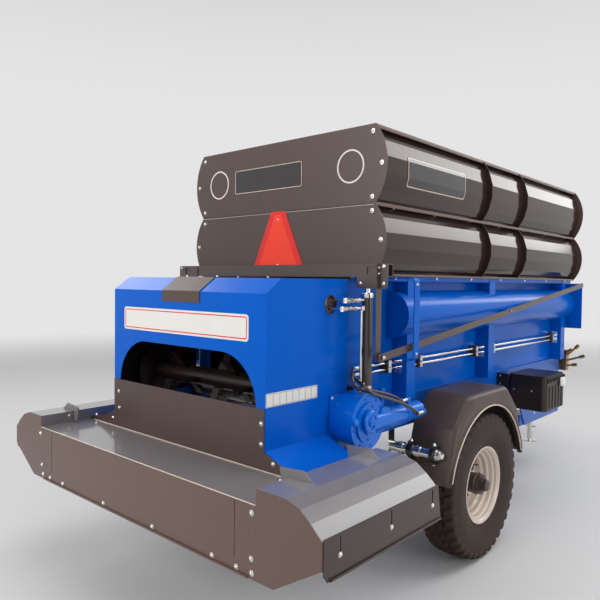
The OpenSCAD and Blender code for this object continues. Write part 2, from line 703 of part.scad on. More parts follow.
module gate_crossbar() at_plate() color(grey) {
    difference() {
        block([-gate_gap - crossbar_deep, -crossbar_half_w, crossbar_z - crossbar_h],
              [-gate_gap, crossbar_half_w, crossbar_z]);
        block([-gate_gap - crossbar_deep + 5, -crossbar_half_w - 1, crossbar_z - crossbar_h + 5],
              [-gate_gap - 5, crossbar_half_w + 1, crossbar_z - 5]);
    }
    // end plates on the crossbar's rear face, each with a window
    both_sides() along_x(-gate_gap - crossbar_deep - 6, -gate_gap - crossbar_deep + eps) difference() {
        round_rect([-crossbar_half_w, end_plate_low], [-crossbar_half_w + end_plate_w, crossbar_z], 12);
        round_rect([-crossbar_half_w + 60, crossbar_z - crossbar_h + 12],
                   [-crossbar_half_w + end_plate_w - 60, crossbar_z - 14], 8);
    }
    // the flat link that carries the indicator bar
    block([link_x, -link_y - 5, link_low], [link_x + 45, -link_y, crossbar_z]);
    bar_y(pin_x, pin_z, -bar_y_out - 6, -link_y, pin_r);
}
end_plate_low = 1597;
end_plate_w = 182;
link_x = -110;
link_y = 765;
link_low = 1245;
pin_x = link_x + 34;
pin_z = 1262;

module gate_rods() at_plate() color("silver") both_sides() {
    bar_z(cylinder_x, -cylinder_y, barrel_top - gate_lift - 40, crossbar_z - crossbar_h, 14);
}

module gate_cylinders() at_plate() color(black) both_sides() {
    difference() {
        bar_z(cylinder_x, -cylinder_y, barrel_low, barrel_top, cylinder_r);
        bar_z(cylinder_x, -cylinder_y, barrel_low + 20, barrel_top + 1, 14 + run_gap);
    }
    block([cylinder_x - 25, -cylinder_y - 25, barrel_low - 15],
          [cylinder_x + 25, -body_half_w, barrel_low + eps]);
}

pivot_x = 1449;
pivot_z = 1442;
bar_t = 6;
bar_y_out = 790;
module indicator_bar() at_plate() color(grey) {
    reach = hopper_len - 77 - pivot_x;
    slope = atan2(pivot_z - pin_z, pivot_x - pin_x);
    translate([pivot_x, -bar_y_out, pivot_z]) rotate([0, -slope, 0]) difference() {
        block([-1566, 0, -19], [reach, bar_t, 19]);
        block([-1553, -1, -10], [-1513, bar_t + 1, 10]);
        bar_y(0, 0, -1, bar_t + 1, pin_r + run_gap);
    }
}

// ---------- hydraulics ----------

// Drum on the conveyor shaft's end, with a worm housing that leads forward to the hydraulic motor
drum_face = housing_half_w + 145;
drum_cap_r = 60;
module conveyor_gearbox() at_plate() color(blue) {
    y0 = -housing_half_w;
    bar_y(drive_x, drive_z, -drum_face, y0 - 11, gearbox_r);
    bar_y(drive_x, drive_z, -drum_face - 12, -drum_face + 1, gearbox_r - 38);
    bar_y(drive_x, drive_z, -drum_face - 24, -drum_face - 11, drum_cap_r);
    difference() {
        block([drive_x - 130, y0 - 12, drive_z - 130], [drive_x + 130, y0, drive_z + 130]);
        for (x = [-115, 115], z = [-115, 115]) bar_y(drive_x + x, drive_z + z, y0 - 13, y0 + 1, 7);
    }
    bar_y(drive_x, drive_z, y0 - 1, -shaft_end - 1, drive_shaft_r);
    bar_x(-motor_y, motor_z, drive_x, motor_x - 15, 52);
    bar_x(-motor_y, motor_z, motor_x - 15 - eps, motor_x, 56);
    bar_x(-motor_y, motor_z, motor_x - eps, motor_x + 150, motor_r);
    bar_x(-motor_y, motor_z, motor_x + 150 - eps, motor_x + 165, motor_r - 14);
    // the motor's ports: one on top, one on its outer side, each with an elbow
    bar_z(port_at[0], -motor_y, motor_z, motor_z + motor_r + 16, 14);
    translate([port_at[0], -motor_y, motor_z + motor_r + 18]) sphere(15);
    bar_y(port_at[1], motor_z, -motor_y - motor_r - 14, -motor_y, 14);
    translate([port_at[1], -motor_y - motor_r - 14, motor_z]) sphere(15);
    // filler neck with its cap
    bar_z(neck_at[0], -neck_at[1], motor_z, motor_z + 130, 14);
    bar_z(neck_at[0], -neck_at[1], motor_z + 129, motor_z + 148, 18);
}
motor_x = 195;
motor_y = 735;
motor_z = 938;
motor_r = 48;
port_at = [motor_x + 55, motor_x + 115];
neck_at = [60, motor_y - 40];

clamp_x = [230, 560, 1290, 1560, hopper_len - 316];
pipe_r = 8;
pipe_dz = [17, -17];
pipe_back = -20;
feed_zs = [1540, 1500];
module pressure_pipes() at_plate() color("silver") {
    for (dz = pipe_dz) bar_x(-pipe_y, pipe_z + dz, pipe_back, hopper_len - 90, pipe_r);
    for (x = clamp_x) block([x, -pipe_y - 14, pipe_z - 32], [x + 20, -body_half_w, pipe_z + 32]);
    // pipes from the port in the housing to the top and the bottom of the right cylinder
    feed_ends = [cylinder_x - cylinder_r - seat_gap, cylinder_x - cylinder_r - 22];
    fitting = pipe_r + 4;
    for (i = [0, 1]) {
        port = port_x + 12 - 24 * i;
        bar_y(port, feed_zs[i], -cylinder_y - fitting, -housing_half_w + 40, pipe_r - 1);
        bar_z(port, -cylinder_y, feed_zs[i] - fitting, feed_zs[i] + fitting, fitting);
        bar_x(-cylinder_y, feed_zs[i], port, feed_ends[i], pipe_r - 1);
    }
    bar_y(feed_ends[1], feed_zs[1], -cylinder_y - fitting, -cylinder_y + fitting, fitting);
    bar_z(feed_ends[1], -cylinder_y, barrel_low + 25, feed_zs[1], pipe_r - 1);
    bar_x(-cylinder_y, barrel_low + 25, feed_ends[1] - 9, cylinder_x - cylinder_r - seat_gap, fitting);
}

// Smooth line through points: each span between two inner points is drawn in n steps
function smooth_at(a, b, c, d, t) =
    (2 * b + (c - a) * t + (2 * a - 5 * b + 4 * c - d) * t * t + (3 * b - a - 3 * c + d) * t * t * t) / 2;
function smooth(p, n) = [for (i = [0:len(p) - 2], k = [0:n - 1])
        smooth_at(p[max(i - 1, 0)], p[i], p[i + 1], p[min(i + 2, len(p) - 1)], k / n),
    p[len(p) - 1]];

// A round tube of radius r with m sides along the line p, its rings square to the line
module swept(p, r, m) {
    last = len(p) - 1;
    ring = function(i) let (
        d = p[min(i + 1, last)] - p[max(i - 1, 0)],
        u = cross(d, [0, 0.6, 0.8]) / norm(cross(d, [0, 0.6, 0.8])),
        v = cross(d, u) / norm(cross(d, u))
    ) [for (k = [0:m - 1]) p[i] + r * (cos(360 * k / m) * u + sin(360 * k / m) * v)];
    polyhedron([for (i = [0:last]) each ring(i)], concat(
        [[for (k = [0:m - 1]) k]],
        [for (i = [0:last - 1], k = [0:m - 1])
            [i * m + k, (i + 1) * m + k, (i + 1) * m + (k + 1) % m, i * m + (k + 1) % m]],
        [[for (k = [m - 1:-1:0]) last * m + k]]));
}

// Two hoses leave the pipes' rear ends, pass out between housing and cylinder, turn back in a loop
// and run forward to the motor's ports
hose_r = 8;
hose_lead = [15, 0, 0];
pipe_end = [for (dz = pipe_dz) [pipe_back - seat_gap, -pipe_y, pipe_z + dz]];
port_end = [[port_at[0] - 15.5, -motor_y, motor_z + motor_r + 18],
            [port_at[1] - 15.5, -motor_y - motor_r - 14, motor_z]];
upper_line = [pipe_end[0], pipe_end[0] - hose_lead, pipe_end[0] - 2 * hose_lead, [-95, -626, 1189],
              [-140, -655, 1189], [-190, -690, 1176], [-214, -718, 1148], [-190, -733, 1119],
              [-120, -736, 1101], [-20, -735, 1078], [110, -735, 1041],
              port_end[0] - 3 * hose_lead, port_end[0] - hose_lead, port_end[0]];
lower_line = [pipe_end[1], pipe_end[1] - hose_lead, pipe_end[1] - 2 * hose_lead, [-90, -626, 1152],
              [-130, -665, 1150], [-160, -715, 1142], [-173, -762, 1122], [-155, -782, 1098],
              [-100, -786, 1078], [-20, -788, 1054], [110, -794, 1010], [195, -806, 966],
              port_end[1] - 3 * hose_lead, port_end[1] - hose_lead, port_end[1]];
module upper_hose() at_plate() color(black) swept(smooth(upper_line, 3), hose_r, 10);
module lower_hose() at_plate() color(black) swept(smooth(lower_line, 3), hose_r, 10);

// Valve block on the headboard's right corner, with four pipe couplings that fan out from it
valve_x = hopper_len + seat_gap;
valve_y = [body_half_w - 10, body_half_w + 70];
valve_z = [860, 1040];
// height on the block, length and upward angle of each coupling
stub_at = [[1015, 60, 35], [985, 150, 45], [945, 165, 19], [900, 95, 10]];
module couplings() at_plate() color(black) {
    block([valve_x, -valve_y[1], valve_z[0]], [valve_x + 70, -valve_y[0], valve_z[1]]);
    block([valve_x, -valve_y[0] - eps, valve_z[0] + 40], [valve_x + 8, -valve_y[0] + 60, valve_z[1] - 40]);
    for (c = stub_at) translate([valve_x + 35, -valve_y[1] + 10, c[0]]) rotate([90 - c[2], 0, 0]) {
        cylinder(r = 9, h = c[1]);
        translate([0, 0, c[1] - 42]) cylinder(r = 15, h = 40);
    }
}

// ---------- fenders and toolbox ----------

fender_t = 6;
fender_top = 1000;
fender_line = [[-500, 545], [-410, 840], [-242, fender_top], [242, fender_top], [410, 840], [500, 545]];
fender_round = 90;
fender_edge = rounded(fender_line, fender_round, 4);
fender_in = track_half - 150;
fender_out = track_half + 125;
arch_clear = tyre_r + 42;
arch_lip = 25;
module fenders() at_plate() color(black) both_sides() translate([axle_x, 0, 0]) {
    along_y(-fender_out, -fender_in) polygon(folded(fender_edge, -fender_t));
    along_y(-fender_out, -fender_out + fender_t) difference() {
        polygon(fender_edge);
        translate([0, tyre_r]) circle(arch_clear, $fn = 96);
    }
    // rolled lip round the wheel arch
    along_y(-fender_out, -fender_out + arch_lip) intersection() {
        translate([0, tyre_r]) difference() {
            circle(arch_clear + fender_t, $fn = 96);
            circle(arch_clear, $fn = 96);
        }
        polygon(fender_edge);
    }
}

// The stay tubes lie against the fender's sloping ends and hang from the rails
stay_r = 28;
clamp_t = 6;
stay_at = 0.5;
module fender_stays() at_plate() color("silver") both_sides() for (side = [-1, 1]) {
    a = fender_line[0];
    d = fender_line[1] - a;
    c = a + d * stay_at + [-d[1], d[0]] / norm(d) * (stay_r + clamp_t + seat_gap);
    x = axle_x - side * c[0];
    bar_y(x, c[1], -fender_out + 60, -rail_out + 30, stay_r);
    for (y = [fender_out - 75, fender_out - 175, fender_in - 10])
        bar_y(x, c[1], -y, -y + 30, stay_r + clamp_t);
    block([x - 30, -rail_out + 20, c[1] - 30], [x + 30, -rail_out + 28, deck_z]);
}

box_x = 1720;
box_l = 380;
box_z = 735;
box_top = 930;
box_out = 940;
box_r = 35;
box_wall = 4;
box_hinge = 75;
lid_h = 50;
box_in = rail_out + box_hinge;
// hinge pins behind the box's inner wall, on lugs; the lid's knuckles turn on them
hinge_y = box_in - 14;
hinge_pin_r = 5;
knuckle_r = 11;
knuckle_l = 40;
lug_t = 10;
lug_r = 8;
hinge_xs = [box_x + 60, box_x + box_l - 60 - knuckle_l - lug_t];
module toolbox() at_plate() color(black) {
    difference() {
        translate([0, 0, box_z]) linear_extrude(box_top - box_z)
            round_rect([box_x, -box_out], [box_x + box_l, -box_in], box_r);
        translate([0, 0, box_z + box_wall]) linear_extrude(box_top - box_z)
            round_rect([box_x + box_wall, -box_out + box_wall],
                       [box_x + box_l - box_wall, -box_in - box_wall], box_r - box_wall);
    }
    for (x = [box_x + 70:60:box_x + box_l - 70])
        block([x - 5, -box_out - 4, box_z + 12], [x + 5, -box_out + eps, box_top - 25]);
    for (x = hinge_xs) {
        bar_x(-hinge_y, box_top, x, x + lug_t + knuckle_l, hinge_pin_r);
        bar_x(-hinge_y, box_top, x, x + lug_t, lug_r);
        block([x, -box_in - eps, box_top - 30], [x + lug_t, -hinge_y + hinge_pin_r, box_top - 1]);
    }
    // two plates hold the box on the frame rail
    for (x = [box_x + box_r, box_x + box_l - box_r - 6]) {
        block([x, -box_in - eps, box_z + 30], [x + 6, -rail_out, box_top - 30]);
        block([x, -rail_out - 6, deck_z], [x + 50, -rail_out, box_top - 30]);
        block([x, -box_in - eps, box_z + 30], [x + 50, -box_in + 6, box_top - 30]);
    }
}
module toolbox_lid() at_plate() color(black) difference() {
    union() {
        for (x = hinge_xs) {
            bar_x(-hinge_y, box_top, x + lug_t + 2, x + lug_t + knuckle_l, knuckle_r);
            block([x + lug_t + 2, -box_in - eps, box_top + seat_gap],
                  [x + lug_t + knuckle_l, -hinge_y, box_top + knuckle_r]);
        }
        translate([0, 0, box_top + seat_gap]) linear_extrude(lid_h - 12 - seat_gap)
            round_rect([box_x - 5, -box_out - 5], [box_x + box_l + 5, -box_in], box_r + 5);
        translate([0, 0, box_top + lid_h - 12 - eps]) linear_extrude(12)
            round_rect([box_x + 5, -box_out + 5], [box_x + box_l - 5, -box_in - 8], box_r - 5);
        for (x = [box_x + 20:24:box_x + box_l - 20])
            block([x - 3, -box_out - 9, box_top + 6], [x + 3, -box_out, box_top + lid_h - 16]);
        for (y = [box_in + 20:24:box_out - 30])
            block([box_x - 9, -y - 3, box_top + 6], [box_x + 1, -y + 3, box_top + lid_h - 16]);
    }
    for (x = hinge_xs)
        bar_x(-hinge_y, box_top, x + lug_t + 1, x + lug_t + knuckle_l + 1, hinge_pin_r + run_gap);
    translate([0, 0, box_top - 1]) linear_extrude(lid_h - 8)
        round_rect([box_x + 10, -box_out + 10], [box_x + box_l - 10, -box_in - 15], box_r - 10);
}

// ---------- wheels ----------

module wheel_side(s) at_plate()
    translate([axle_x, s * track_half, tyre_r]) rotate([-90 * s, 0, 0]) children();

module tyre(s) wheel_side(s) color(black) rotate_extrude($fn = 96) difference() {
    union() {
        translate([rim_d / 2 + 12, -83.7]) square([30, 167.4]);
        translate([rim_d / 2 + 25, -tyre_w / 2 + 30]) square([tyre_r - rim_d / 2 - 25, tyre_w - 60]);
        for (k = [-1, 1]) translate([rim_d / 2 + 100, k * (tyre_w / 2 - 70)]) circle(70);
    }
    translate([0, -200]) square([rim_d / 2 + 12, 400]);
}
hand_holes = 8;
module rim(s) wheel_side(s) color("ivory") difference() {
    r = rim_d / 2;
    rotate_extrude($fn = 96)
        polygon([[60, -40], [112, -40], [122, -48], [150, -62], [r + 4, -62],
                 [r + 4, -88], [r + 24, -88], [r + 24, -84],
                 [r + 11.7, -84], [r + 11.7, 84], [r + 24, 84], [r + 24, 88], [r + 4, 88], [r + 4, -54],
                 [152, -54], [124, -39], [114, -32], [60, -32]]);
    for (k = [0:hand_holes - 1]) rotate([0, 0, 360 * (k + 0.5) / hand_holes])
        translate([168, 0, -70]) cylinder(r = 17, h = 30);
}
module hub(s) wheel_side(s) color(grey) difference() {
    union() {
        translate([0, 0, -52]) cylinder(r = 104, h = 12);
        translate([0, 0, -52]) cylinder(r = 59, h = 130);
        translate([0, 0, 60]) cylinder(r = 46, h = 24);
        translate([0, 0, 84 - eps]) cylinder(r = 38, h = 14);
    }
    translate([0, 0, -60]) cylinder(r = spindle_r + run_gap, h = 125);
}
module tyre_right() tyre(-1);
module rim_right() rim(-1);
module hub_right() hub(-1);
module tyre_left() tyre(1);
module rim_left() rim(1);
module hub_left() hub(1);

// ---------- nodes ----------

chassis_frame();
cross_members();
axle();
drawbar();
towing_eye();
jack_tube();
jack_leg();
side_walls();
headboard();
floor_pan();
floor_chain();
floor_slats();
conveyor_shafts();
side_beams();
lower_tier_plates();
lower_tier_sides();
upper_tier_plates();
upper_tier_sides();
beater_housing();
housing_sides();
closure_plate();
visor();
lower_beater();
upper_beater();
hood_deck();
hood_rear_panel();
hood_end_plates();
side_covers();
cover_fins();
side_flaps();
spinner_drive();
spinner_right();
spinner_left();
input_shaft();
gate_plate();
gate_crossbar();
gate_rods();
gate_cylinders();
indicator_bar();
conveyor_gearbox();
pressure_pipes();
upper_hose();
lower_hose();
couplings();
warning_triangle();
fenders();
fender_stays();
toolbox();
toolbox_lid();
tyre_right();
rim_right();
hub_right();
tyre_left();
rim_left();
hub_left();
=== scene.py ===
"""Looks of the fertilizer spreader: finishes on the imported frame, and the pieces that only show."""

import math

import bpy
import numpy as np
from mathutils import Matrix, Vector


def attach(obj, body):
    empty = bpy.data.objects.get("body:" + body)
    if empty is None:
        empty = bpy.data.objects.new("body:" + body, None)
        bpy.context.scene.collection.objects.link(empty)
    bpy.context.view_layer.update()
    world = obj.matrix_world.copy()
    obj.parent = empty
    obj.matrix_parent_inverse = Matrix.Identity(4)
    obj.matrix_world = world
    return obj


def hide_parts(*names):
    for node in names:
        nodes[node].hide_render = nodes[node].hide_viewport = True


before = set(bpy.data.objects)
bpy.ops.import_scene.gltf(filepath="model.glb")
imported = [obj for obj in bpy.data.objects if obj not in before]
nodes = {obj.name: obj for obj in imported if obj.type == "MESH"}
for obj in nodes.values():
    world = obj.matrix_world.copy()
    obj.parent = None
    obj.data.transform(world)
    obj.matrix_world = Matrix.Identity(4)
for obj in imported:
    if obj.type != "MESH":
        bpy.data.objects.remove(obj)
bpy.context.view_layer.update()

# The hopper's rear plane in the shared frame, in metres. All other places are millimetres, with X
# counted forwards from that plane, Y to the left and Z up from the ground.
REAR_PLANE = -1.707
HOPPER = 3056                                       # length of the hopper
AXLE_X, WHEEL_Z, TRACK = 848, 432.5, 810            # the axle, and half the track
RIM_Z, TIER2_Z, TOP_Z = 1660, 2029, 2432            # upper rims of the hopper and of the two tiers
TIER_HALF, TIER_BULGE, TIER_RECESS = 677, 71, 40    # half width of a tier, and how its side sheets bulge
HOUSING_Y, HOUSING_BACK = 603, 694                  # side and rear faces of the beater housing
HOOD_BACK, HOOD_Y, DECK_Z, DECK_Y = 996, 1182, 801, 861     # the hood's faces and its flat deck
GEARBOX_X, GEARBOX_Z = -130, 945                    # middle of the conveyor gearbox
PORT_X, PORT_Z = -255, 1518                         # port in the housing's side
BOX_X, BOX_Y = 1720, 949                            # rear and outer faces of the toolbox

REAR, FRONT, RIGHT, UP, DOWN = (-1, 0, 0), (1, 0, 0), (0, -1, 0), (0, 0, 1), (0, 0, -1)
# the two directions of a plate whose face looks to the rear, to the right or to the front
ON_REAR, ON_RIGHT, ON_FRONT = (RIGHT, UP), (FRONT, UP), ((0, 1, 0), UP)
SIDES = ((-1, "right"), (1, "left"))


# ---------- shapes: (points, list of face arrays), in machine millimetres ----------

def grid_faces(rows, cols, close_rows=False, close_cols=False):
    """Quads of a grid of rows by cols points: each joins a point to the next in its row and column."""
    r = np.arange(rows if close_rows else rows - 1)
    c = np.arange(cols if close_cols else cols - 1)
    i, j = [a.ravel() for a in np.meshgrid(r, c, indexing="ij")]
    i2, j2 = (i + 1) % rows, (j + 1) % cols
    return np.stack([i * cols + j, i * cols + j2, i2 * cols + j2, i2 * cols + j], 1)


def outward(points, faces):
    """Turns every face over where the volume, the sum of each fan triangle's signed wedge, is negative."""
    volume = 0.0
    for f in faces:
        for k in range(1, f.shape[1] - 1):
            a, b, c = points[f[:, 0]], points[f[:, k]], points[f[:, k + 1]]
            volume += np.einsum("ij,ij->", a - points.mean(0), np.cross(b - a, c - a))
    return points, [f[:, ::-1] for f in faces] if volume < 0 else faces


def axes_of(direction):
    """Three square directions, the last along the given one."""
    w = np.asarray(direction, float) / np.linalg.norm(direction)
    u = np.cross([0, 0, 1] if abs(w[2]) < 0.9 else [1, 0, 0], w)
    u /= np.linalg.norm(u)
    return np.stack([u, np.cross(w, u), w])


def revolve(profile, centre=(0, 0, 0), direction=UP, count=32, flats=0, flat_rows=(), closed=False):
    """Carries (radius, height) pairs round an axis. A closed outline makes a ring, an open one gets a flat
    cap at both ends. On flat_rows the radius follows a regular polygon of that many flats: the apothem
    over the cosine of the angle to the nearest flat's middle."""
    p = np.asarray(profile, float)
    t = np.arange(count) * 2 * np.pi / count
    r = np.repeat(p[:, :1], count, 1)
    if flats:
        step = 2 * np.pi / flats
        r[list(flat_rows)] /= np.cos((t + step / 2) % step - step / 2)
    local = np.stack([r * np.cos(t), r * np.sin(t), np.repeat(p[:, 1:], count, 1)], -1).reshape(-1, 3)
    faces, ring = [grid_faces(len(p), count, closed, True)], np.arange(count)[None]
    if not closed:
        faces += [ring[:, ::-1], ring + (len(p) - 1) * count]
    return outward(local @ axes_of(direction) + centre, faces)


def hoop(profile, centre, direction, count=64):
    """Carries a closed (radius, height) outline round an axis, as for a ring."""
    return revolve(profile, centre, direction, count, closed=True)


def laid(outline, origin, u, v):
    """Points in space of a flat outline given along u and v from the origin."""
    o = np.asarray(outline, float)
    return np.asarray(origin, float) + o[:, :1] * np.asarray(u, float) + o[:, 1:] * np.asarray(v, float)


def slab(outline, origin, u, v, depth):
    """Carries a flat outline, given along u and v from origin, straight through a depth along u x v."""
    flat, w = laid(outline, origin, u, v), np.cross(u, v)
    points = np.concatenate([flat + w * depth[0], flat + w * depth[1]])
    ring = np.arange(len(flat))[None]
    return outward(points, [grid_faces(2, len(flat), close_cols=True), ring[:, ::-1], ring + len(flat)])


def sweep(path, section):
    """Carries a closed section along a path: each ring stands square to the path's own direction."""
    p, s = np.asarray(path, float), np.asarray(section, float)
    d = np.gradient(p, axis=0)
    d /= np.linalg.norm(d, axis=1)[:, None]
    u = np.cross(d, [0, 0.6, 0.8])
    u /= np.linalg.norm(u, axis=1)[:, None]
    v = np.cross(d, u)
    points = (p[:, None] + s[None, :, :1] * u[:, None] + s[None, :, 1:] * v[:, None]).reshape(-1, 3)
    ring = np.arange(len(s))[None]
    return outward(points, [grid_faces(len(p), len(s), close_cols=True), ring[:, ::-1],
                            ring + (len(p) - 1) * len(s)])


def disc(r, count=12):
    """Points of a circle of radius r."""
    t = np.arange(count) * 2 * np.pi / count
    return np.stack([r * np.cos(t), r * np.sin(t)], 1)


def rounded(w, h, r, steps=5):
    """Outline of a w by h rectangle about its middle, each corner a quarter circle of radius r."""
    t = np.linspace(0, np.pi / 2, steps)
    x, y = w / 2 - r, h / 2 - r
    corners = []
    for k, (a, b) in enumerate(((x, y), (-x, y), (-x, -y), (x, -y))):
        corners.append(np.stack([a + r * np.cos(t + k * np.pi / 2), b + r * np.sin(t + k * np.pi / 2)], 1))
    return np.concatenate(corners)


def dense(outline, step):
    """The closed outline with points added along its sides, at equal parts no longer than the step."""
    p = np.asarray(outline, float)
    q = np.roll(p, -1, 0)
    parts = np.maximum(1, np.ceil(np.linalg.norm(q - p, axis=1) / step).astype(int))
    start = np.repeat(np.arange(len(p)), parts)
    t = (np.arange(len(start)) - np.repeat(np.cumsum(parts) - parts, parts)) / parts[start]
    return p[start] + (q - p)[start] * t[:, None]


def smooth_path(points, steps):
    """A smooth line through points: each span is the cubic whose slopes come from the points beside it."""
    p = np.asarray(points, float)
    q = np.concatenate([p[:1], p, p[-1:]])
    a, b, c, d = [x[:, None] for x in (q[:-3], q[1:-2], q[2:-1], q[3:])]
    t = (np.arange(steps) / steps)[None, :, None]
    line = (2 * b + (c - a) * t + (2 * a - 5 * b + 4 * c - d) * t ** 2 + (3 * b - a - 3 * c + d) * t ** 3) / 2
    return np.concatenate([line.reshape(-1, 3), p[-1:]])


def pad(w, h, r, middle, facing, depth):
    """A w by h plate with corners of radius r, about its middle on a face that looks one way."""
    return slab(rounded(w, h, r), middle, *facing, depth)


def join(shapes):
    """Several shapes as one."""
    points, faces, at = [], [], 0
    for p, fs in shapes:
        points.append(p)
        faces += [f + at for f in fs]
        at += len(p)
    return np.concatenate(points), faces


def copies(shape, places, direction=UP):
    """The shape, made about the origin with its foot's direction up, set at each place."""
    p, fs = shape
    turned = p @ axes_of(direction)
    places = np.asarray(places, float).reshape(-1, 3)
    points = (places[:, None] + turned[None]).reshape(-1, 3)
    shift = (np.arange(len(places)) * len(p))[:, None, None]
    return points, [(f[None] + shift).reshape(-1, f.shape[1]) for f in fs]


def mirrored(shape):
    """The shape on the machine's other side, with its faces turned to point outwards again."""
    p, fs = shape
    return p * [1, -1, 1], [f[:, ::-1] for f in fs]


def both(shape):
    """The shape and its mirror image on the machine's other side."""
    return join([shape, mirrored(shape)])


def placed(name, data):
    """A new object in the scene, with a mesh, a lamp or a camera as its data."""
    obj = bpy.data.objects.new(name, data)
    bpy.context.scene.collection.objects.link(obj)
    return obj


def piece(name, shape, finish, body="spreader", sharp=35, replaces=()):
    """Makes a mesh of a shape, in metres, and lets it ride on a body."""
    points, faces = shape
    mesh = bpy.data.meshes.new(name)
    metres = np.asarray(points) / 1000 + [REAR_PLANE, 0, 0]
    mesh.from_pydata(metres, [], [q for f in faces for q in f.tolist()])
    mesh.validate()
    obj = placed(name, mesh)
    mesh.materials.append(finish)
    mesh.shade_smooth()
    mesh.set_sharp_from_angle(angle=math.radians(sharp))
    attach(obj, body)
    if replaces:
        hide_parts(*replaces)
    return obj


# ---------- shader groups ----------

def feed(tree, node, inputs):
    """Gives a node's inputs other nodes' outputs, or numbers and colours."""
    for key, value in inputs.items():
        if isinstance(value, bpy.types.NodeSocket):
            tree.links.new(value, node.inputs[key])
        else:
            node.inputs[key].default_value = value


def add_node(tree, kind, inputs, **settings):
    """A new node of a kind, first with its settings and then with its inputs."""
    n = tree.nodes.new("ShaderNode" + kind)
    for label, value in settings.items():
        setattr(n, label, value)
    feed(tree, n, inputs)
    return n


def math_node(tree, kind, *values):
    """The output of a Math node fed by sockets or numbers."""
    return add_node(tree, "Math", dict(enumerate(values)), operation=kind).outputs[0]


def noise_node(tree, vector, scale, detail=2.0, roughness=0.5):
    """The output of a Noise Texture on a vector."""
    return add_node(tree, "TexNoise", {"Vector": vector, "Scale": scale, "Detail": detail,
                                       "Roughness": roughness}).outputs["Fac"]


def mix_colours(tree, share, a, b):
    """Goes from one colour to another; each is a socket or four numbers."""
    return add_node(tree, "Mix", {"Factor": share, "A": a, "B": b}, data_type="RGBA").outputs["Result"]


def new_group(name, inputs, outputs):
    """A shader group with float or vector inputs and named outputs: itself, what its inputs give and the
    node that its outputs are fed through."""
    g = bpy.data.node_groups.new(name, "ShaderNodeTree")
    for label, value in inputs.items():
        kind = "NodeSocketVector" if value is None else "NodeSocketFloat"
        s = g.interface.new_socket(name=label, in_out="INPUT", socket_type=kind)
        if value is not None:
            s.default_value = value
    for label in outputs:
        g.interface.new_socket(name=label, in_out="OUTPUT", socket_type="NodeSocketFloat")
    return g, g.nodes.new("NodeGroupInput").outputs, g.nodes.new("NodeGroupOutput")


def paint_skin():
    """Sprayed paint on sheet: a fine skin of bumps and the sheet's own slow waves."""
    g, i, out = new_group("paint_skin", {"Position": None, "Skin": 0.000006, "Wave": 0.0001},
                          ["Height", "Change"])
    where = i["Position"]
    fine = math_node(g, "MULTIPLY", noise_node(g, where, 420.0, 1.0), i["Skin"])
    slow = math_node(g, "MULTIPLY", noise_node(g, where, 2.6, 1.0), i["Wave"])
    feed(g, out, {"Height": math_node(g, "ADD", fine, slow), "Change": noise_node(g, where, 7.0, 5.0, 0.6)})
    return g


def settled_dust():
    """Dust that settles on low parts: it thins out towards the height Top, in soft and in fine patches."""
    g, i, out = new_group("settled_dust", {"Position": None, "Amount": 0.3, "Top": 0.9}, ["Mask"])
    where = i["Position"]
    height = add_node(g, "SeparateXYZ", {0: where}).outputs["Z"]
    low = math_node(g, "SUBTRACT", 1.0, math_node(g, "DIVIDE", height, i["Top"]))
    patch = math_node(g, "MULTIPLY_ADD", noise_node(g, where, 9.0, 6.0, 0.62), 2.2, -0.55)
    fine = math_node(g, "MULTIPLY_ADD", noise_node(g, where, 90.0, 4.0, 0.7), 1.6, -0.3)
    mask = math_node(g, "MULTIPLY", math_node(g, "MULTIPLY", low, patch),
                     math_node(g, "MULTIPLY", fine, i["Amount"]))
    feed(g, out, {"Mask": add_node(g, "Clamp", {0: mask}).outputs[0]})
    return g


def drawn_lines():
    """Drawn or machined metal: long fine lines along X and a slow change."""
    g, i, out = new_group("drawn_lines", {"Position": None, "Lines": 900.0}, ["Height", "Change"])
    along = add_node(g, "VectorMath", {0: i["Position"], 1: (0.06, 1.0, 1.0)}, operation="MULTIPLY")
    feed(g, out, {"Height": noise_node(g, along.outputs[0], i["Lines"]),
                  "Change": noise_node(g, i["Position"], 14.0, 5.0, 0.65)})
    return g


def moulded_grain():
    """Moulded plastic or rubber: a small even grain."""
    g, i, out = new_group("moulded_grain", {"Position": None, "Grain": 650.0}, ["Height", "Change"])
    grain = add_node(g, "TexVoronoi", {"Vector": i["Position"], "Scale": i["Grain"]}).outputs["Distance"]
    feed(g, out, {"Height": grain, "Change": noise_node(g, i["Position"], 11.0, 5.0, 0.6)})
    return g


def shade_inside_housing():
    """Painted shade in the beater housing: 1 inside a box whose roof slopes up from its rear edge."""
    g, i, out = new_group("shade_inside_housing", {"Position": None, "Rear": 0.0, "Front": 0.0, "Half": 0.6,
                                               "Top": 1.6, "Eaves": 1.6, "Slope": 0.716}, ["Mask"])
    x, y, z = add_node(g, "SeparateXYZ", {0: i["Position"]}).outputs
    eaves = math_node(g, "MULTIPLY_ADD", math_node(g, "SUBTRACT", x, i["Rear"]), i["Slope"], i["Eaves"])
    mask = 1.0
    for value, kind, limit in ((x, "GREATER_THAN", i["Rear"]), (x, "LESS_THAN", i["Front"]),
                               (math_node(g, "ABSOLUTE", y), "LESS_THAN", i["Half"]),
                               (z, "LESS_THAN", i["Top"]), (z, "LESS_THAN", eaves)):
        mask = math_node(g, "MULTIPLY", math_node(g, kind, value, limit), mask)
    feed(g, out, {"Mask": mask})
    return g


GROUPS = {make.__name__: make() for make in (paint_skin, settled_dust, drawn_lines, moulded_grain,
                                             shade_inside_housing)}
# the dark colour painted inside the beater housing as its shade
INSIDE_SHADE = (0.012, 0.007, 0.007, 1)


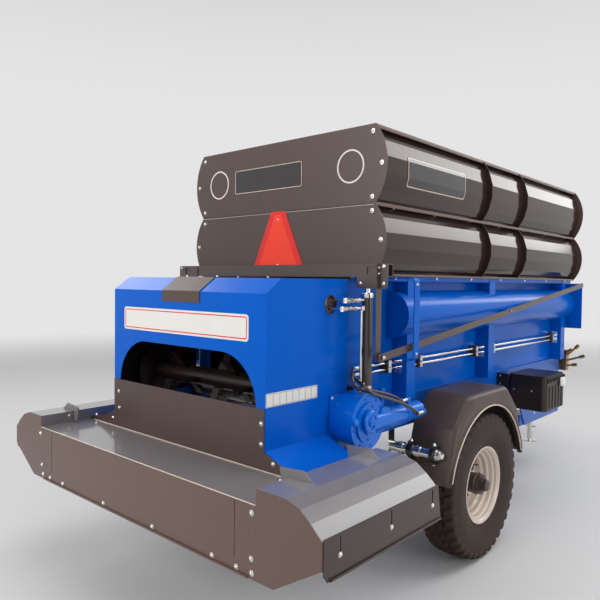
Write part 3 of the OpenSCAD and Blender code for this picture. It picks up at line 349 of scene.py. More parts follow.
def laid_over(tree, where, base, rough, group, values, colour):
    """Lays a colour over the base and adds half to the roughness, as far as the shared group's mask says."""
    mask = add_node(tree, "Group", {"Position": where, **values}, node_tree=GROUPS[group]).outputs["Mask"]
    return mix_colours(tree, mask, base, colour), math_node(tree, "MULTIPLY_ADD", mask, 0.5, rough)


def finish_of(name, colour, rough, drift, skin="paint_skin", metal=0.0, coat=0.0, coat_rough=0.08, bump=1.0,
              dust=0.0, dust_top=0.9, dust_colour=(0.30, 0.25, 0.19), rough_drift=0.12, values=None, spec=0.5,
              tint=(1.0, 1.0, 1.0), inside=None):
    """A Principled finish: its colour and roughness drift slowly, its bumps come from one of the shared
    groups, dust lies on it where it is low, and inside the housing it is painted dark as shade."""
    m = bpy.data.materials.new(name)
    m.use_nodes = True
    t = m.node_tree
    p = t.nodes["Principled BSDF"]
    where = add_node(t, "TexCoord", {}).outputs["Object"]
    group = add_node(t, "Group", {"Position": where, **(values or {})}, node_tree=GROUPS[skin])
    height, change = group.outputs
    bumps = add_node(t, "Bump", {"Height": height, "Strength": 1.0, "Distance": bump}).outputs[0]
    darker, lighter = [[min(1, c * k) for c in colour] + [1] for k in (1 - drift, 1 + drift)]
    out = mix_colours(t, change, darker, lighter)
    rough_out = math_node(t, "MULTIPLY_ADD", change, rough_drift, rough - rough_drift / 2)
    if dust:
        out, rough_out = laid_over(t, where, out, rough_out, "settled_dust",
                                   {"Amount": dust, "Top": dust_top}, (*dust_colour, 1))
    # inside the beater housing the colour goes over into painted shade
    if inside:
        out, rough_out = laid_over(t, where, out, rough_out, "shade_inside_housing", inside, INSIDE_SHADE)
    feed(t, p, {"Base Color": out, "Roughness": rough_out, "Normal": bumps, "Metallic": metal,
                "Coat Weight": coat, "Coat Roughness": coat_rough, "Specular IOR Level": spec,
                "Specular Tint": (*tint, 1)})
    return m


# thin sheets wave a little under their paint
PAINT = {"Skin": 0.000006, "Wave": 0.0007}
# tints of what the blue and the anthracite paints mirror
BLUE_TINT, WARM = (0.10, 0.42, 1.0), (1.0, 0.90, 0.84)
# the beater housing's inside, painted dark as shade, in metres of the shared frame
HOUSING_INSIDE = {"Rear": -2.3985, "Front": -1.70, "Top": 1.6395, "Eaves": 1.571}
blue = finish_of("blue_gloss", (0.0003, 0.102, 0.51), 0.22, 0.10, coat=0.06, coat_rough=0.04, values=PAINT,
                 spec=0.2, tint=BLUE_TINT, inside=dict(HOUSING_INSIDE, Half=0.56, Front=-1.62))
blue_housing = finish_of("blue_gloss_housing", (0.0003, 0.106, 0.56), 0.24, 0.10, coat=0.04, coat_rough=0.04,
                         values=PAINT, spec=0.2, tint=BLUE_TINT, inside=dict(HOUSING_INSIDE, Half=0.5995))
blue_frame = finish_of("blue_gloss_frame", (0.0012, 0.082, 0.40), 0.32, 0.12, coat=0.2, dust=0.22,
                       tint=BLUE_TINT, inside=dict(HOUSING_INSIDE, Half=0.56, Front=-1.62))
# the blue paint made lighter on the gearbox and its bolts and bosses: painted light
blue_casting_painted_light = finish_of("blue_gloss_casting_painted_light", (0.0008, 0.135, 0.64), 0.24, 0.12, coat=0.35,
                         values={"Skin": 0.00010, "Wave": 0.0003}, tint=BLUE_TINT)
tier_satin = finish_of("anthracite_satin", (0.068, 0.041, 0.036), 0.42, 0.10, coat=0.10, coat_rough=0.2,
                       values=PAINT, tint=WARM)
tier_gloss = finish_of("anthracite_gloss", (0.028, 0.016, 0.013), 0.12, 0.12,
                       values={"Skin": 0.000004, "Wave": 0.0005}, rough_drift=0.05, tint=WARM)
hood_satin = finish_of("hood_satin", (0.116, 0.067, 0.054), 0.34, 0.08, coat=0.22, coat_rough=0.14,
                       values=PAINT, tint=WARM)
deck_satin = finish_of("deck_satin", (0.172, 0.161, 0.167), 0.28, 0.08, coat=0.8, coat_rough=0.10,
                       rough_drift=0.03, values={"Skin": 0.000002, "Wave": 0.0004})
flap_satin = finish_of("flap_satin", (0.038, 0.024, 0.020), 0.34, 0.10, coat=0.2, coat_rough=0.15, tint=WARM)
bar_satin = finish_of("bar_satin", (0.068, 0.048, 0.043), 0.36, 0.14, coat=0.25, coat_rough=0.15, tint=WARM)
black_paint = finish_of("black_paint_satin", (0.012, 0.009, 0.008), 0.34, 0.2, coat=0.25, dust=0.2)
zinc = finish_of("zinc_plate", (0.72, 0.70, 0.66), 0.24, 0.14, "drawn_lines", metal=1.0, bump=0.00002,
                 rough_drift=0.2)
chrome = finish_of("bright_pipe", (0.80, 0.80, 0.79), 0.12, 0.08, "drawn_lines", metal=1.0, bump=0.000008)
brass = finish_of("couplings_brass", (0.42, 0.25, 0.10), 0.30, 0.25, "drawn_lines", metal=1.0, bump=0.00002)
worn_steel = finish_of("used_steel", (0.30, 0.285, 0.27), 0.42, 0.35, "drawn_lines", metal=1.0, bump=0.00006,
                       rough_drift=0.3, dust=0.4, dust_top=2.0)
# oiled steel, darker still as painted shade inside the beater housing, on the beaters and the gate plate
oiled_steel_and_shade = finish_of("oiled_steel_painted_shade", (0.016, 0.008, 0.007), 0.38, 0.35, "drawn_lines", metal=0.3,
                        bump=0.00006, rough_drift=0.2)
plastic = finish_of("moulded_black", (0.060, 0.040, 0.034), 0.36, 0.15, "moulded_grain", bump=0.00010,
                    dust=0.22, dust_top=1.2, dust_colour=(0.12, 0.08, 0.06), tint=WARM)
box_plastic = finish_of("moulded_black_box", (0.011, 0.007, 0.007), 0.36, 0.15, "moulded_grain", bump=0.00010,
                        dust=0.15, dust_top=1.2, tint=WARM)
hose = finish_of("hose_cover", (0.034, 0.014, 0.010), 0.24, 0.3, "moulded_grain", bump=0.00004, coat=0.5,
                 values={"Grain": 900.0})
rubber = finish_of("tyre_rubber", (0.013, 0.008, 0.006), 0.62, 0.3, "moulded_grain", bump=0.0002, dust=0.6,
                   dust_top=0.95, dust_colour=(0.100, 0.046, 0.027), values={"Grain": 420.0}, tint=WARM)
cream = finish_of("cream_enamel", (0.66, 0.56, 0.48), 0.28, 0.06, coat=0.5, dust=0.35, dust_top=0.9,
                  dust_colour=(0.30, 0.20, 0.14))
hub_paint = finish_of("hub_dark", (0.040, 0.027, 0.022), 0.38, 0.2, coat=0.2, dust=0.3,
                      dust_colour=(0.14, 0.09, 0.06), values={"Skin": 0.0001, "Wave": 0.0002})
cylinder_paint = finish_of("cylinder_paint", (0.055, 0.039, 0.035), 0.24, 0.15, coat=0.4)
signal_red = finish_of("signal_red", (0.98, 0.040, 0.004), 0.36, 0.06, "moulded_grain", bump=0.00002,
                       coat=0.04, values={"Grain": 1500.0})
signal_border = finish_of("signal_border", (0.78, 0.010, 0.006), 0.34, 0.08, "moulded_grain", bump=0.00003,
                          coat=0.05, values={"Grain": 2200.0})
plate_white = finish_of("plate_white", (0.80, 0.78, 0.74), 0.34, 0.05, coat=0.3)
plate_dark = finish_of("plate_dark", (0.014, 0.010, 0.009), 0.24, 0.1, coat=0.5)
# pale, for the plates' printed borders, and for rods along edges and round the fender arch as painted
# highlights
pale_border_and_highlight = finish_of("pale_border_and_highlight", (0.68, 0.55, 0.45), 0.3, 0.1, coat=0.3)

NODE_FINISH = {
    blue: ["side_walls", "headboard", "side_beams"],
    blue_housing: ["beater_housing", "housing_sides"],
    blue_frame: ["chassis_frame", "cross_members", "axle", "drawbar", "spinner_drive"],
    blue_casting_painted_light: ["conveyor_gearbox"],
    tier_satin: ["lower_tier_plates", "upper_tier_plates", "visor", "closure_plate"],
    tier_gloss: ["lower_tier_sides", "upper_tier_sides"],
    hood_satin: ["hood_rear_panel", "hood_end_plates"],
    deck_satin: ["hood_deck", "side_covers", "cover_fins"],
    flap_satin: ["side_flaps"],
    bar_satin: ["gate_crossbar", "indicator_bar"],
    black_paint: ["towing_eye", "jack_tube"],
    brass: ["couplings"],
    zinc: ["jack_leg", "fender_stays"],
    chrome: ["pressure_pipes", "gate_rods"],
    worn_steel: ["floor_pan", "floor_chain", "floor_slats", "conveyor_shafts", "spinner_right",
                 "spinner_left", "input_shaft"],
    oiled_steel_and_shade: ["lower_beater", "upper_beater", "gate_plate"],
    box_plastic: ["toolbox", "toolbox_lid"],
    cream: ["rim_right", "rim_left"],
    hub_paint: ["hub_right", "hub_left"],
    cylinder_paint: ["gate_cylinders"],
    signal_border: ["warning_triangle"],
}
# each imported part gets its finish as its only material
for material, names in NODE_FINISH.items():
    for name in names:
        data = nodes[name].data
        data.materials.clear()
        data.materials.append(material)


# ---------- bolts ----------

def bolt(r, dome=0.0):
    """A washer and a hexagon head of apothem 0.62 r, chamfered, or a dome whose height falls as the
    square root of one less the radius squared."""
    if dome:
        a = np.linspace(0, np.pi / 2, 5)[:-1]
        top = np.stack([0.72 * r * np.cos(a), 0.18 * r + dome * r * np.sin(a)], 1).tolist()
        return revolve([[r, 0], [r, 0.16 * r], [0.74 * r, 0.18 * r]] + top, count=14)
    return revolve([[r, 0], [r, 0.14 * r], [0.93 * r, 0.18 * r], [0.62 * r, 0.18 * r], [0.62 * r, 0.70 * r],
                    [0.56 * r, 0.82 * r]], count=18, flats=6, flat_rows=(3, 4))


def bolts(name, places, direction, r=9, body="spreader", finish=zinc, dome=0.0):
    """One piece of bolts at the given places, all pointing one way."""
    return piece(name, copies(bolt(r, dome), places, direction), finish, body)


def with_left(places):
    """The places and the same on the machine's other side."""
    p = np.asarray(places, float)
    return np.concatenate([p, p * [1, -1, 1]])


def on_circle(x, y, z, r, count, start=0.0):
    """Evenly spaced places on a circle that lies square to Y."""
    a = start + np.arange(count) * 2 * np.pi / count
    return np.stack([x + r * np.cos(a), np.full(count, y), z + r * np.sin(a)], 1)


LOW_DOME, DOME = 0.6, 0.62      # height of a domed head over its washer's radius

# hood and closure plate
panel_places = [(613, 537), (203, 537), (-205, 537), (-613, 537), (-756, 537), (755, 537), (-838, 594),
                (-838, 767), (-841, 540), (867, 764), (850, 591), (838, 540)]
bolts("rear_panel_bolts", [[-HOOD_BACK, y, z] for y, z in panel_places], REAR, 12, dome=DOME)
closure_places = [(551, 1004), (546, 912), (-582, 1008), (-583, 918), (-657, 846), (612, 846), (-722, 818),
                  (790, 834)]
bolts("closure_plate_bolts", [[-698.3, y, z] for y, z in closure_places], REAR, 11, dome=LOW_DOME)
FLANGE_XS = (200, 640, 1085, 1530, 1960, 2400, 2840)
for side, name in SIDES:
    outwards, inwards = (0, side, 0), (0, -side, 0)
    bolts(f"flap_bolts_{name}", [[x, side * HOOD_Y, 686] for x in (-902, -581, -268)], outwards, 11,
          dome=DOME)
    bolts(f"cover_fin_bolts_{name}", [[x, side * DECK_Y, 838] for x in (-832, -789)], inwards, 10, dome=DOME)
    bolts(f"closure_foot_bolt_{name}", [[-732, side * 733, DECK_Z + 0.5]], UP, 9, dome=0.5)
    bolts(f"tier_flange_bolts_{name}", [[x, side * 657, z + 4] for z in (RIM_Z, TIER2_Z) for x in FLANGE_XS],
          UP, 8)
    bolts(f"tier_flange_nuts_{name}", [[x, side * 657, TIER2_Z - 4] for x in FLANGE_XS], DOWN, 9)
    bolts(f"rim_flange_bolts_{name}", [[x, side * 678, RIM_Z - 9] for x in FLANGE_XS], outwards, 8,
          dome=LOW_DOME)
    bolts(f"front_plate_bolts_{name}", [[x, side * 575, z] for x in (2480, 2700, 2920) for z in (560, 760)],
          outwards, 11)
# end plates of the two tiers
tier_places = with_left([[0, y, low + up] for low, high in ((RIM_Z, TIER2_Z), (TIER2_Z, TOP_Z))
                         for y, up in ((660, 36), (716, (high - low) / 2), (660, high - low - 36))])
bolts("tier_rear_bolts", tier_places, REAR, 12, dome=DOME)
bolts("tier_front_bolts", tier_places + [HOPPER, 0, 0], FRONT, 12, dome=DOME)
# beater housing and gate linkage
bolts("visor_bolts", [[x, y, 1647.5] for x in (-560, -200) for y in (-120, 120)], UP, 8)
bolts("crossbar_plate_bolts", with_left([[-85, -y, z] for y, z in ((795, 1706), (795, 1622), (655, 1622))]),
      REAR, 9, "rear_gate")
bolts("indicator_pin_nuts", [[1449, -790, 1442]], RIGHT, 9)
bolts("link_bolts", [[-88, -770, z] for z in (1700, 1672)], RIGHT, 9, "rear_gate")
bolts("link_pin_nut", [[-76, -796, 1262]], RIGHT, 11, "rear_gate")
bolts("strap_bolts", [[197, -814, z] for z in (1260, 1620)], RIGHT, 8)
# conveyor gearbox
bolts("gearbox_flange_bolts",
      [[GEARBOX_X + x, -615, GEARBOX_Z + z] for x in (-115, 115) for z in (-115, 115)], RIGHT, 10)
for name, y, r, count, start in (("cap", -760, 80, 6, 0.3), ("drum", -748, 119, 8, 0.2)):
    bolts(f"gearbox_{name}_bolts", on_circle(GEARBOX_X, y, GEARBOX_Z, r, count, start), RIGHT, 7,
          finish=blue_casting_painted_light)
# the gearbox's bosses: place from its middle, distance out, profile, count, flats and their rows
bosses = [revolve(profile, [GEARBOX_X + x, -out, GEARBOX_Z + z], RIGHT, *rest)
          for x, out, z, profile, *rest in (
              (-16, 771, 10,
               [[55, 0], [55, 9], [50, 13], [36, 13], [33, 8], [24, 8], [21, 15], [12, 19], [0.5, 20]], 40),
              (118, 747, 17, [[47, 0], [47, 20], [42, 25], [8, 26], [7, 21], [0.5, 21]], 36),
              (-116, 747, 19, [[24, 0], [24, 3], [17, 4], [17, 15], [14, 18]], 18, 6, (2, 3)))]
eyes = [pad(20, 46, 9, [GEARBOX_X + x, -690, GEARBOX_Z + 141], ON_RIGHT, (-7, 7)) for x in (-30, 90)]
piece("gearbox_bosses", join(bosses + eyes), blue_casting_painted_light)


# ---------- plates, rings and the triangle ----------

def flat_plate(name, outline, origin, u, v, depth, finish, bevel=0.6):
    """A thin plate of an outline, its edges just broken."""
    obj = piece(name, slab(outline, origin, u, v, depth), finish)
    m = obj.modifiers.new("broken_edge", "BEVEL")
    m.width, m.segments, m.limit_method = bevel / 1000, 2, "ANGLE"
    return obj


def frame_outline(w, h, r, band, origin, u, v, depth):
    """A band between a rounded rectangle and the same one made smaller by the band's width."""
    a, b = rounded(w, h, r), rounded(w - 2 * band, h - 2 * band, max(r - band, 0.5))
    rows = [laid(o, origin, u, v) + np.cross(u, v) * d for o, d in
            ((a, depth[0]), (a, depth[1]), (b, depth[1]), (b, depth[0]))]
    return outward(np.concatenate(rows), [grid_faces(4, len(a), True, True)])


# blank cream plate with a thin red border on the housing's rear
plate_middle = [-HOUSING_BACK, 5, 1419]
flat_plate("housing_plate", rounded(996, 122, 16), plate_middle, *ON_REAR, (0, 1.5), plate_white)
piece("housing_plate_border", frame_outline(976, 102, 10, 5, plate_middle, *ON_REAR, (1.2, 2.0)),
      signal_border)
# blank strip of eight cells on the housing's right side
strip_x, strip_z = -520, 1108
strip_middle = [strip_x, -HOUSING_Y, strip_z]
flat_plate("housing_side_strip", rounded(346, 62, 3), strip_middle, *ON_RIGHT, (0, 1.2), plate_white)
piece("housing_side_strip_border", frame_outline(340, 56, 2, 1.6, strip_middle, *ON_RIGHT, (1.0, 1.6)),
      plate_dark)
dividers = [pad(1.6, 54, 0.6, [strip_x + x, -HOUSING_Y, strip_z], ON_RIGHT, (1.0, 1.7))
            for x in np.linspace(-127.5, 127.5, 7)]
piece("housing_side_strip_cells", join(dividers), plate_dark)
# blank dark plate with a pale border, between two rings, on the upper tier
TIER_PLATE_Z = 2232
plate_middle = [0, 95, TIER_PLATE_Z]
flat_plate("tier_rear_plate", rounded(560, 150, 14), plate_middle, *ON_REAR, (0, 1.5), plate_dark)
piece("tier_rear_plate_border", frame_outline(552, 142, 12, 4, plate_middle, *ON_REAR, (1.2, 2.0)),
      pale_border_and_highlight)
for side, name in SIDES:
    piece(f"tier_ring_{name}", hoop([[88, 0], [88, 1.6], [80, 1.6], [80, 0]], [0, side * 520, TIER_PLATE_Z],
                                    REAR, 72), plate_white)


def tier_face(x, z, out=0.0):
    """Points on the upper tier's right side sheet, stood off by out. The sheet's section is an arc in five
    straight facets; its radius comes from the chord h and the bulge b as (h h / 4 + b b) / 2 b."""
    h = TOP_Z - TIER2_Z
    r = (h * h / 4 + TIER_BULGE ** 2) / (2 * TIER_BULGE)
    t = np.linspace(-1, 1, 6) * math.asin(h / 2 / r)
    y = TIER_HALF + TIER_BULGE - r + r * np.cos(t) - TIER_RECESS
    z = np.asarray(z, float)
    sheet = np.interp(z, TIER2_Z + h / 2 + r * np.sin(t), y)
    return np.stack([np.broadcast_to(x, z.shape), -sheet - out, z], -1)


def tier_plate(w, h, r, x, z, depth):
    """A blank plate bent over the facets: rows up the plate, each with its two ends on the sheet and its two
    ends in front; near a corner of radius r an end moves in by r less the root of r r - (r - d) (r - d)."""
    d = np.array([0, 0.08, 0.3, 0.65, 1.0]) * r
    bends = np.array([2187.1, 2230, 2273.9]) - z + h / 2
    rows = np.concatenate([d, bends, (h - d)[::-1]])
    near = np.clip(np.minimum(rows, h - rows), 0, r)
    inset = r - np.sqrt(r * r - (r - near) ** 2)
    up = z - h / 2 + rows
    left, right = x - w / 2 + inset, x + w / 2 - inset
    ends = [tier_face(e, up, o) for e, o in
            ((left, depth[0]), (left, depth[1]), (right, depth[1]), (right, depth[0]))]
    cap = np.arange(4)[None]
    return outward(np.stack(ends, 1).reshape(-1, 3),
                   [grid_faces(len(rows), 4, close_cols=True), cap[:, ::-1], cap + 4 * (len(rows) - 1)])


def tier_band(w, h, r, band, x, z, depth):
    """A thin band round such a plate, between a rounded rectangle and one smaller by the band's width."""
    outer = dense(rounded(w, h, r), 12)
    inner = outer * [1 - 2 * band / w, 1 - 2 * band / h]
    rows = [tier_face(x + o[:, 0], z + o[:, 1], d) for o, d in
            ((outer, depth[0]), (outer, depth[1]), (inner, depth[1]), (inner, depth[0]))]
    return outward(np.concatenate(rows), [grid_faces(4, len(outer), True, True)])


# blank dark plate with a pale border on the upper tier's right side
piece("tier_side_plate", tier_plate(664, 162, 14, 586, 2218, (2.5, 5.8)), plate_dark, sharp=10)
piece("tier_side_plate_border", tier_band(656, 154, 12, 4.5, 586, 2218, (5.4, 6.8)), pale_border_and_highlight,
      sharp=10)
# folded hems along the tiers' edges, in the hood's lighter finish as painted light on the lips
hems = [pad(5, high - low, 2, [6, -675.5, (low + high) / 2], ON_FRONT, (0, HOPPER - 12))
        for low, high in ((TOP_Z - 21, TOP_Z), (TIER2_Z - 9, TIER2_Z + 8), (RIM_Z + 0.5, RIM_Z + 13))]
piece("tier_hems", both(join(hems)), hood_satin)
# painted highlights, as pale rods: along the rear panel's and the closure plate's edges on the deck, and the
# upper tier's
edge_highlight_rods = [sweep([[x, -half, z], [x, half, z]], disc(r, 12)) for x, half, z, r in
               ((-HOOD_BACK - 0.5, 858, DECK_Z - 1, 2.2), (-700, 815, DECK_Z + 2, 2.2),
                (-1, 672, TIER2_Z - 5, 1.5))]
piece("painted_edge_highlights", join(edge_highlight_rods), pale_border_and_highlight)
piece("tier_seam", pad(1344, 8, 2, [0, 0, TIER2_Z + 1], ON_REAR, (-0.5, 0.8)), black_paint)
panel_seam = pad(3.5, 220, 1.5, [-HOOD_BACK, -742, 681], ON_REAR, (-0.5, 0.7))
piece("panel_seams", both(panel_seam), black_paint)
# the slow-vehicle triangle: a bright middle in a darker border
triangle = [[-158, 1706], [158, 1706], [22, 2014], [-22, 2014]]
flat_plate("triangle_middle", [[-y, z] for y, z in triangle], [-3.3, 0, 0], *ON_REAR, (0, 1.0), signal_red,
           bevel=0.3)
bolts("triangle_bolts", [[-3.3, 0, z] for z in (1722, 1985)], REAR, 6)


# ---------- wheels ----------

def tyre_shape(side):
    """A tyre as a grid round the axle and across its section. The section runs from bead to bead; in the
    tread its radius is lifted by the lugs: a lug stands where a saw wave of the angle, leaned by the
    distance from the middle, is over a threshold, and falls away at its edges."""
    lugs, per_lug, lean_by = 38, 18, 0.0075
    # a lug's share of its pitch, how steep its flanks are, its height and the tyre's largest radius
    share, steep, height, largest = 0.64, 12, 14.3, 432.4
    # half section from the tread's middle to the bead: (distance from the middle, radius, tread weight)
    half = np.array([
        (0, 418, 1), (7, 418, 1), (9, 418, 1), (22, 418, 1), (36, 417.6, 1), (38, 417.5, 1), (44, 417.3, 1),
        (46, 417.2, 1), (60, 416.5, 1), (74, 415.5, 1), (86, 414, 1), (95, 411.5, 1), (101, 407, 0.95),
        (105, 400, 0.8), (107.5, 392, 0.55), (109, 384, 0.3), (110.5, 376, 0.08), (111.5, 368, 0),
        (113.2, 364, 0), (113.2, 359, 0), (114.2, 350, 0), (115, 336, 0), (114.6, 320, 0), (113, 304, 0),
        (111.5, 300, 0), (111, 294, 0), (107, 276, 0), (100, 258, 0), (93, 244, 0), (90, 237, 0),
        (91, 231, 0), (88, 224, 0), (84, 216.5, 0)])
    section = np.concatenate([half[:0:-1] * [-1, 1, 1], half])
    t = np.arange(lugs * per_lug) * 2 * np.pi / (lugs * per_lug)
    y, r, weight = [section[:, k][None] for k in range(3)]
    turn = t[:, None] * lugs / (2 * np.pi)
    lean = turn + lean_by * np.abs(y) + np.where(y > 0, 0.5, 0.0)
    saw = lean % 1.0
    across = np.clip(np.minimum(saw, share - saw) * steep, 0, 1)
    # the groove round the middle and the one between middle and shoulder, both stepping from side to side
    zigzag = 8 + 5 * np.sign(np.sin(2 * np.pi * turn))
    centre = np.clip((np.abs(y) - zigzag) / 3, 0, 1)
    cut = np.clip((np.abs(np.abs(y) - 41 - 4 * np.sign(np.sin(2 * np.pi * lean))) - 3.2) / 2, 0, 1)
    depth = height - np.clip((np.abs(y) - 60) / 45, 0, 1) * 3
    lift = weight * depth * across * centre * np.where(np.abs(y) < 70, cut, 1)
    radius = np.minimum(r + lift, largest)
    out = y + np.sign(y) * weight * np.where(r < 410, 3.2, 0) * across
    ring = np.stack([AXLE_X + radius * np.cos(t)[:, None], side * TRACK + out,
                     WHEEL_Z + radius * np.sin(t)[:, None]], -1)
    return outward(ring.reshape(-1, 3), [grid_faces(len(t), section.shape[0], True, True)])


def rim_nuts(side):
    """Eight chamfered nuts on studs round the hub."""
    stud = revolve([[7, 0], [7, 22], [6, 24]], count=12)
    nut = revolve([[15, 0], [15, 3], [12, 3.5], [12, 14], [10.5, 16]], count=18, flats=6, flat_rows=(2, 3))
    return copies(join([stud, nut]), on_circle(AXLE_X, side * (TRACK - 32), WHEEL_Z, 86, 8), (0, side, 0))


# radius and height over the wheel's middle plane: the disc's inner face, rim, well and outer face
RIM_PROFILE = [
    [60, -40], [112, -40], [122, -48], [150, -60], [190, -66], [201, -84], [214, -88], [227, -88], [227, -84],
    [213, -83], [208, -78], [208, 76], [214, 82], [225, 84], [228, 87], [226, 91], [220, 92], [215, 88],
    [209, 80], [205, 75], [203.5, 64], [201, 60], [195, 56], [192.5, 50], [191.5, 36], [188, 31], [181, 27],
    [178.5, 22], [178, 4], [175, -2], [169, -6], [166, -12], [165.5, -38], [163, -45], [159, -47],
    [129, -47], [124, -38], [114, -31], [60, -31]]


def rim_shape(side):
    """A wheel disc and its stepped well: the profile of radius and height turned round the axle."""
    return hoop(RIM_PROFILE, [AXLE_X, side * TRACK, WHEEL_Z], (0, side, 0), 96)


def hand_holes(side):
    """Eight round openings in the disc: shallow black cups between the bolts and the well, painted shade."""
    cup = revolve([[12, 0], [15, 1.5], [15, 2.5], [12.5, 2.5], [11, 1], [0.5, 0.8]], count=20)
    return copies(cup, on_circle(AXLE_X, side * (TRACK - 47.2), WHEEL_Z, 144, 8, np.pi / 8), (0, side, 0))


for side, name in SIDES:
    body, outwards = f"wheel_{name}", (0, side, 0)
    piece(f"rim_well_{name}", rim_shape(side), cream, body, sharp=22, replaces=(f"rim_{name}",))
    piece(f"rim_opening_shades_{name}", hand_holes(side), black_paint, body)
    piece(f"tread_tyre_{name}", tyre_shape(side), rubber, body, sharp=28, replaces=(f"tyre_{name}",))
    piece(f"wheel_nuts_{name}", rim_nuts(side), hub_paint, body)
    cap = revolve([[30, 0], [33, 3], [33, 12], [29, 17], [10, 19], [4, 19]],
                  [AXLE_X, side * (TRACK + 98), WHEEL_Z], outwards, 32)
    ring = hoop([[61, 0], [65, 4], [65, 12], [61, 16], [57, 12], [57, 4]],
                [AXLE_X, side * (TRACK + 40), WHEEL_Z], outwards, 48)
    piece(f"hub_cap_{name}", join([cap, ring]), hub_paint, body)
    stem = sweep([[AXLE_X + x, side * (TRACK - y), WHEEL_Z + z] for x, y, z in
                  ((150, 60, 60), (152, 45, 61), (156, 20, 62))], disc(4.5, 10))
    piece(f"valve_stem_{name}", stem, hose, body)


# ---------- fenders ----------

def bent_line(points, r, n):
    """The line with each inner corner turned into an arc of radius r, drawn in n steps."""
    p = np.asarray(points, float)
    out = [p[:1]]
    for a, b, c in zip(p[:-2], p[1:-1], p[2:]):
        u, v = (b - a) / np.linalg.norm(b - a), (c - b) / np.linalg.norm(c - b)
        turn = math.atan2(u[0] * v[1] - u[1] * v[0], u @ v)
        side = math.copysign(1, turn)
        centre = b - u * r * math.tan(abs(turn) / 2) + np.array([-u[1], u[0]]) * r * side
        a0 = math.atan2(u[1], u[0]) - side * math.pi / 2
        t = a0 + np.linspace(0, 1, n + 1) * turn
        out.append(centre + r * np.stack([np.cos(t), np.sin(t)], 1))
    return np.concatenate(out + [p[-1:]])


# the fender's outline as distance from the axle and height; its outer and inner faces; the arch's radius
FENDER = [(-500, 545), (-410, 840), (-242, 1000), (242, 1000), (410, 840), (500, 545)]
FENDER_OUT, FENDER_IN, ARCH = 935, 660, 474.5


def fender_shape():
    """A sheet grid: each column is a place along the fender's outline, each row a place across it, from the
    inner edge over the top, down a chamfer and the side to the wheel arch, and round the arch's lip."""
    edge = bent_line(FENDER, 90, 6)
    # more points on the straight runs, so that the arch below them is round
    s = np.concatenate([[0], np.cumsum(np.linalg.norm(np.diff(edge, axis=0), axis=1))])
    grid = np.unique(np.concatenate([s, np.linspace(0, s[-1], 60)]))
    edge = np.stack([np.interp(grid, s, edge[:, k]) for k in (0, 1)], 1)
    axle = np.array([0, WHEEL_Z])
    d = np.gradient(edge, axis=0)
    inwards = np.stack([d[:, 1], -d[:, 0]], 1) / np.linalg.norm(d, axis=1)[:, None]
    spoke = (edge - axle) / np.linalg.norm(edge - axle, axis=1)[:, None]
    arch = axle + spoke * ARCH
    rows = [(edge + inwards * 12, FENDER_IN), (edge, FENDER_IN + 2), (edge, FENDER_OUT - 34),
            (edge + inwards * 3, FENDER_OUT - 22), (edge + inwards * 11, FENDER_OUT - 9),
            (edge + inwards * 22, FENDER_OUT - 1.5), (edge + inwards * 30, FENDER_OUT),
            (arch + spoke * 10, FENDER_OUT), (arch, FENDER_OUT - 3), (arch, FENDER_OUT - 24)]
    points = np.concatenate([np.stack([AXLE_X + p[:, 0], np.full(len(p), -y), p[:, 1]], 1) for p, y in rows])
    return points, [grid_faces(len(rows), len(edge))[:, ::-1]]


for side, name in SIDES:
    shape = fender_shape() if side < 0 else mirrored(fender_shape())
    shell = piece(f"fender_shell_{name}", shape, plastic, sharp=30)
    m = shell.modifiers.new("wall", "SOLIDIFY")
    m.thickness, m.offset = 0.005, -1
    if side < 0:
        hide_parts("fenders")
    # a pale line round the arch as a painted highlight on its lip, and a moulded rib over it
    a = np.radians(np.linspace(15, 165, 60))
    for label, r, thick, finish in (("line", ARCH + 4, 4.4, pale_border_and_highlight), ("rib", ARCH + 24, 3.0, plastic)):
        line = np.stack([AXLE_X + r * np.cos(a), np.full(60, side * FENDER_OUT), WHEEL_Z + r * np.sin(a)], 1)
        piece(f"fender_{label}_{name}", sweep(line, disc(thick, 10)), finish)

# split clamps, two on each stay, and the stays' end bolts
STAY_XS, STAY_Z, STAY_R = (359.8, 1336.2), 701.8, 28
clamp_places = [[x, y, STAY_Z] for x in STAY_XS for y in (-838, -696)]
clamps = []
for x, y, z in clamp_places:
    clamps.append(hoop([[STAY_R + 0.3, 0], [STAY_R + 0.3, 34], [STAY_R + 9, 34], [STAY_R + 10, 32],
                        [STAY_R + 10, 2], [STAY_R + 9, 0]], [x, y + 17, z], RIGHT, 40))
    clamps += [pad(40, 16, 4, [x, y, z + s * 43], ON_RIGHT, (-13, 13)) for s in (-1, 1)]
piece("stay_clamps", both(join(clamps)), black_paint)
bolts("stay_clamp_bolts", with_left(clamp_places) + [0, 0, 50], UP, 15, dome=0.8)
bolts("stay_clamp_nuts", with_left(clamp_places) - [0, 0, 50], DOWN, 15, dome=0.7)
stay_ends = [revolve([[24, 0], [24, 4], [19, 5], [19, 9], [16, 10], [16, 19], [13, 22]], [x, -874, STAY_Z],
                     RIGHT, 24, 6, (4, 5)) for x in STAY_XS]
piece("stay_end_bolts", both(join(stay_ends)), zinc)


# ---------- hydraulics ----------

# each hose's route, from its pipe at the housing's side to its union at the hopper's
UPPER = [[-20.3, -605, 1187], [-35.3, -605, 1187], [-50.3, -605, 1187], [-95, -626, 1189], [-140, -655, 1189],
         [-190, -690, 1176], [-214, -718, 1148], [-190, -733, 1119], [-120, -736, 1101], [-20, -735, 1078],
         [110, -735, 1041], [189.5, -735, 1004], [219.5, -735, 1004], [234.5, -735, 1004]]
LOWER = [[-20.3, -605, 1153], [-35.3, -605, 1153], [-50.3, -605, 1153], [-90, -626, 1152], [-130, -665, 1150],
         [-160, -715, 1142], [-173, -762, 1122], [-155, -782, 1098], [-100, -786, 1078], [-20, -788, 1054],
         [110, -794, 1010], [195, -806, 966], [249.5, -797, 938], [279.5, -797, 938], [294.5, -797, 938]]


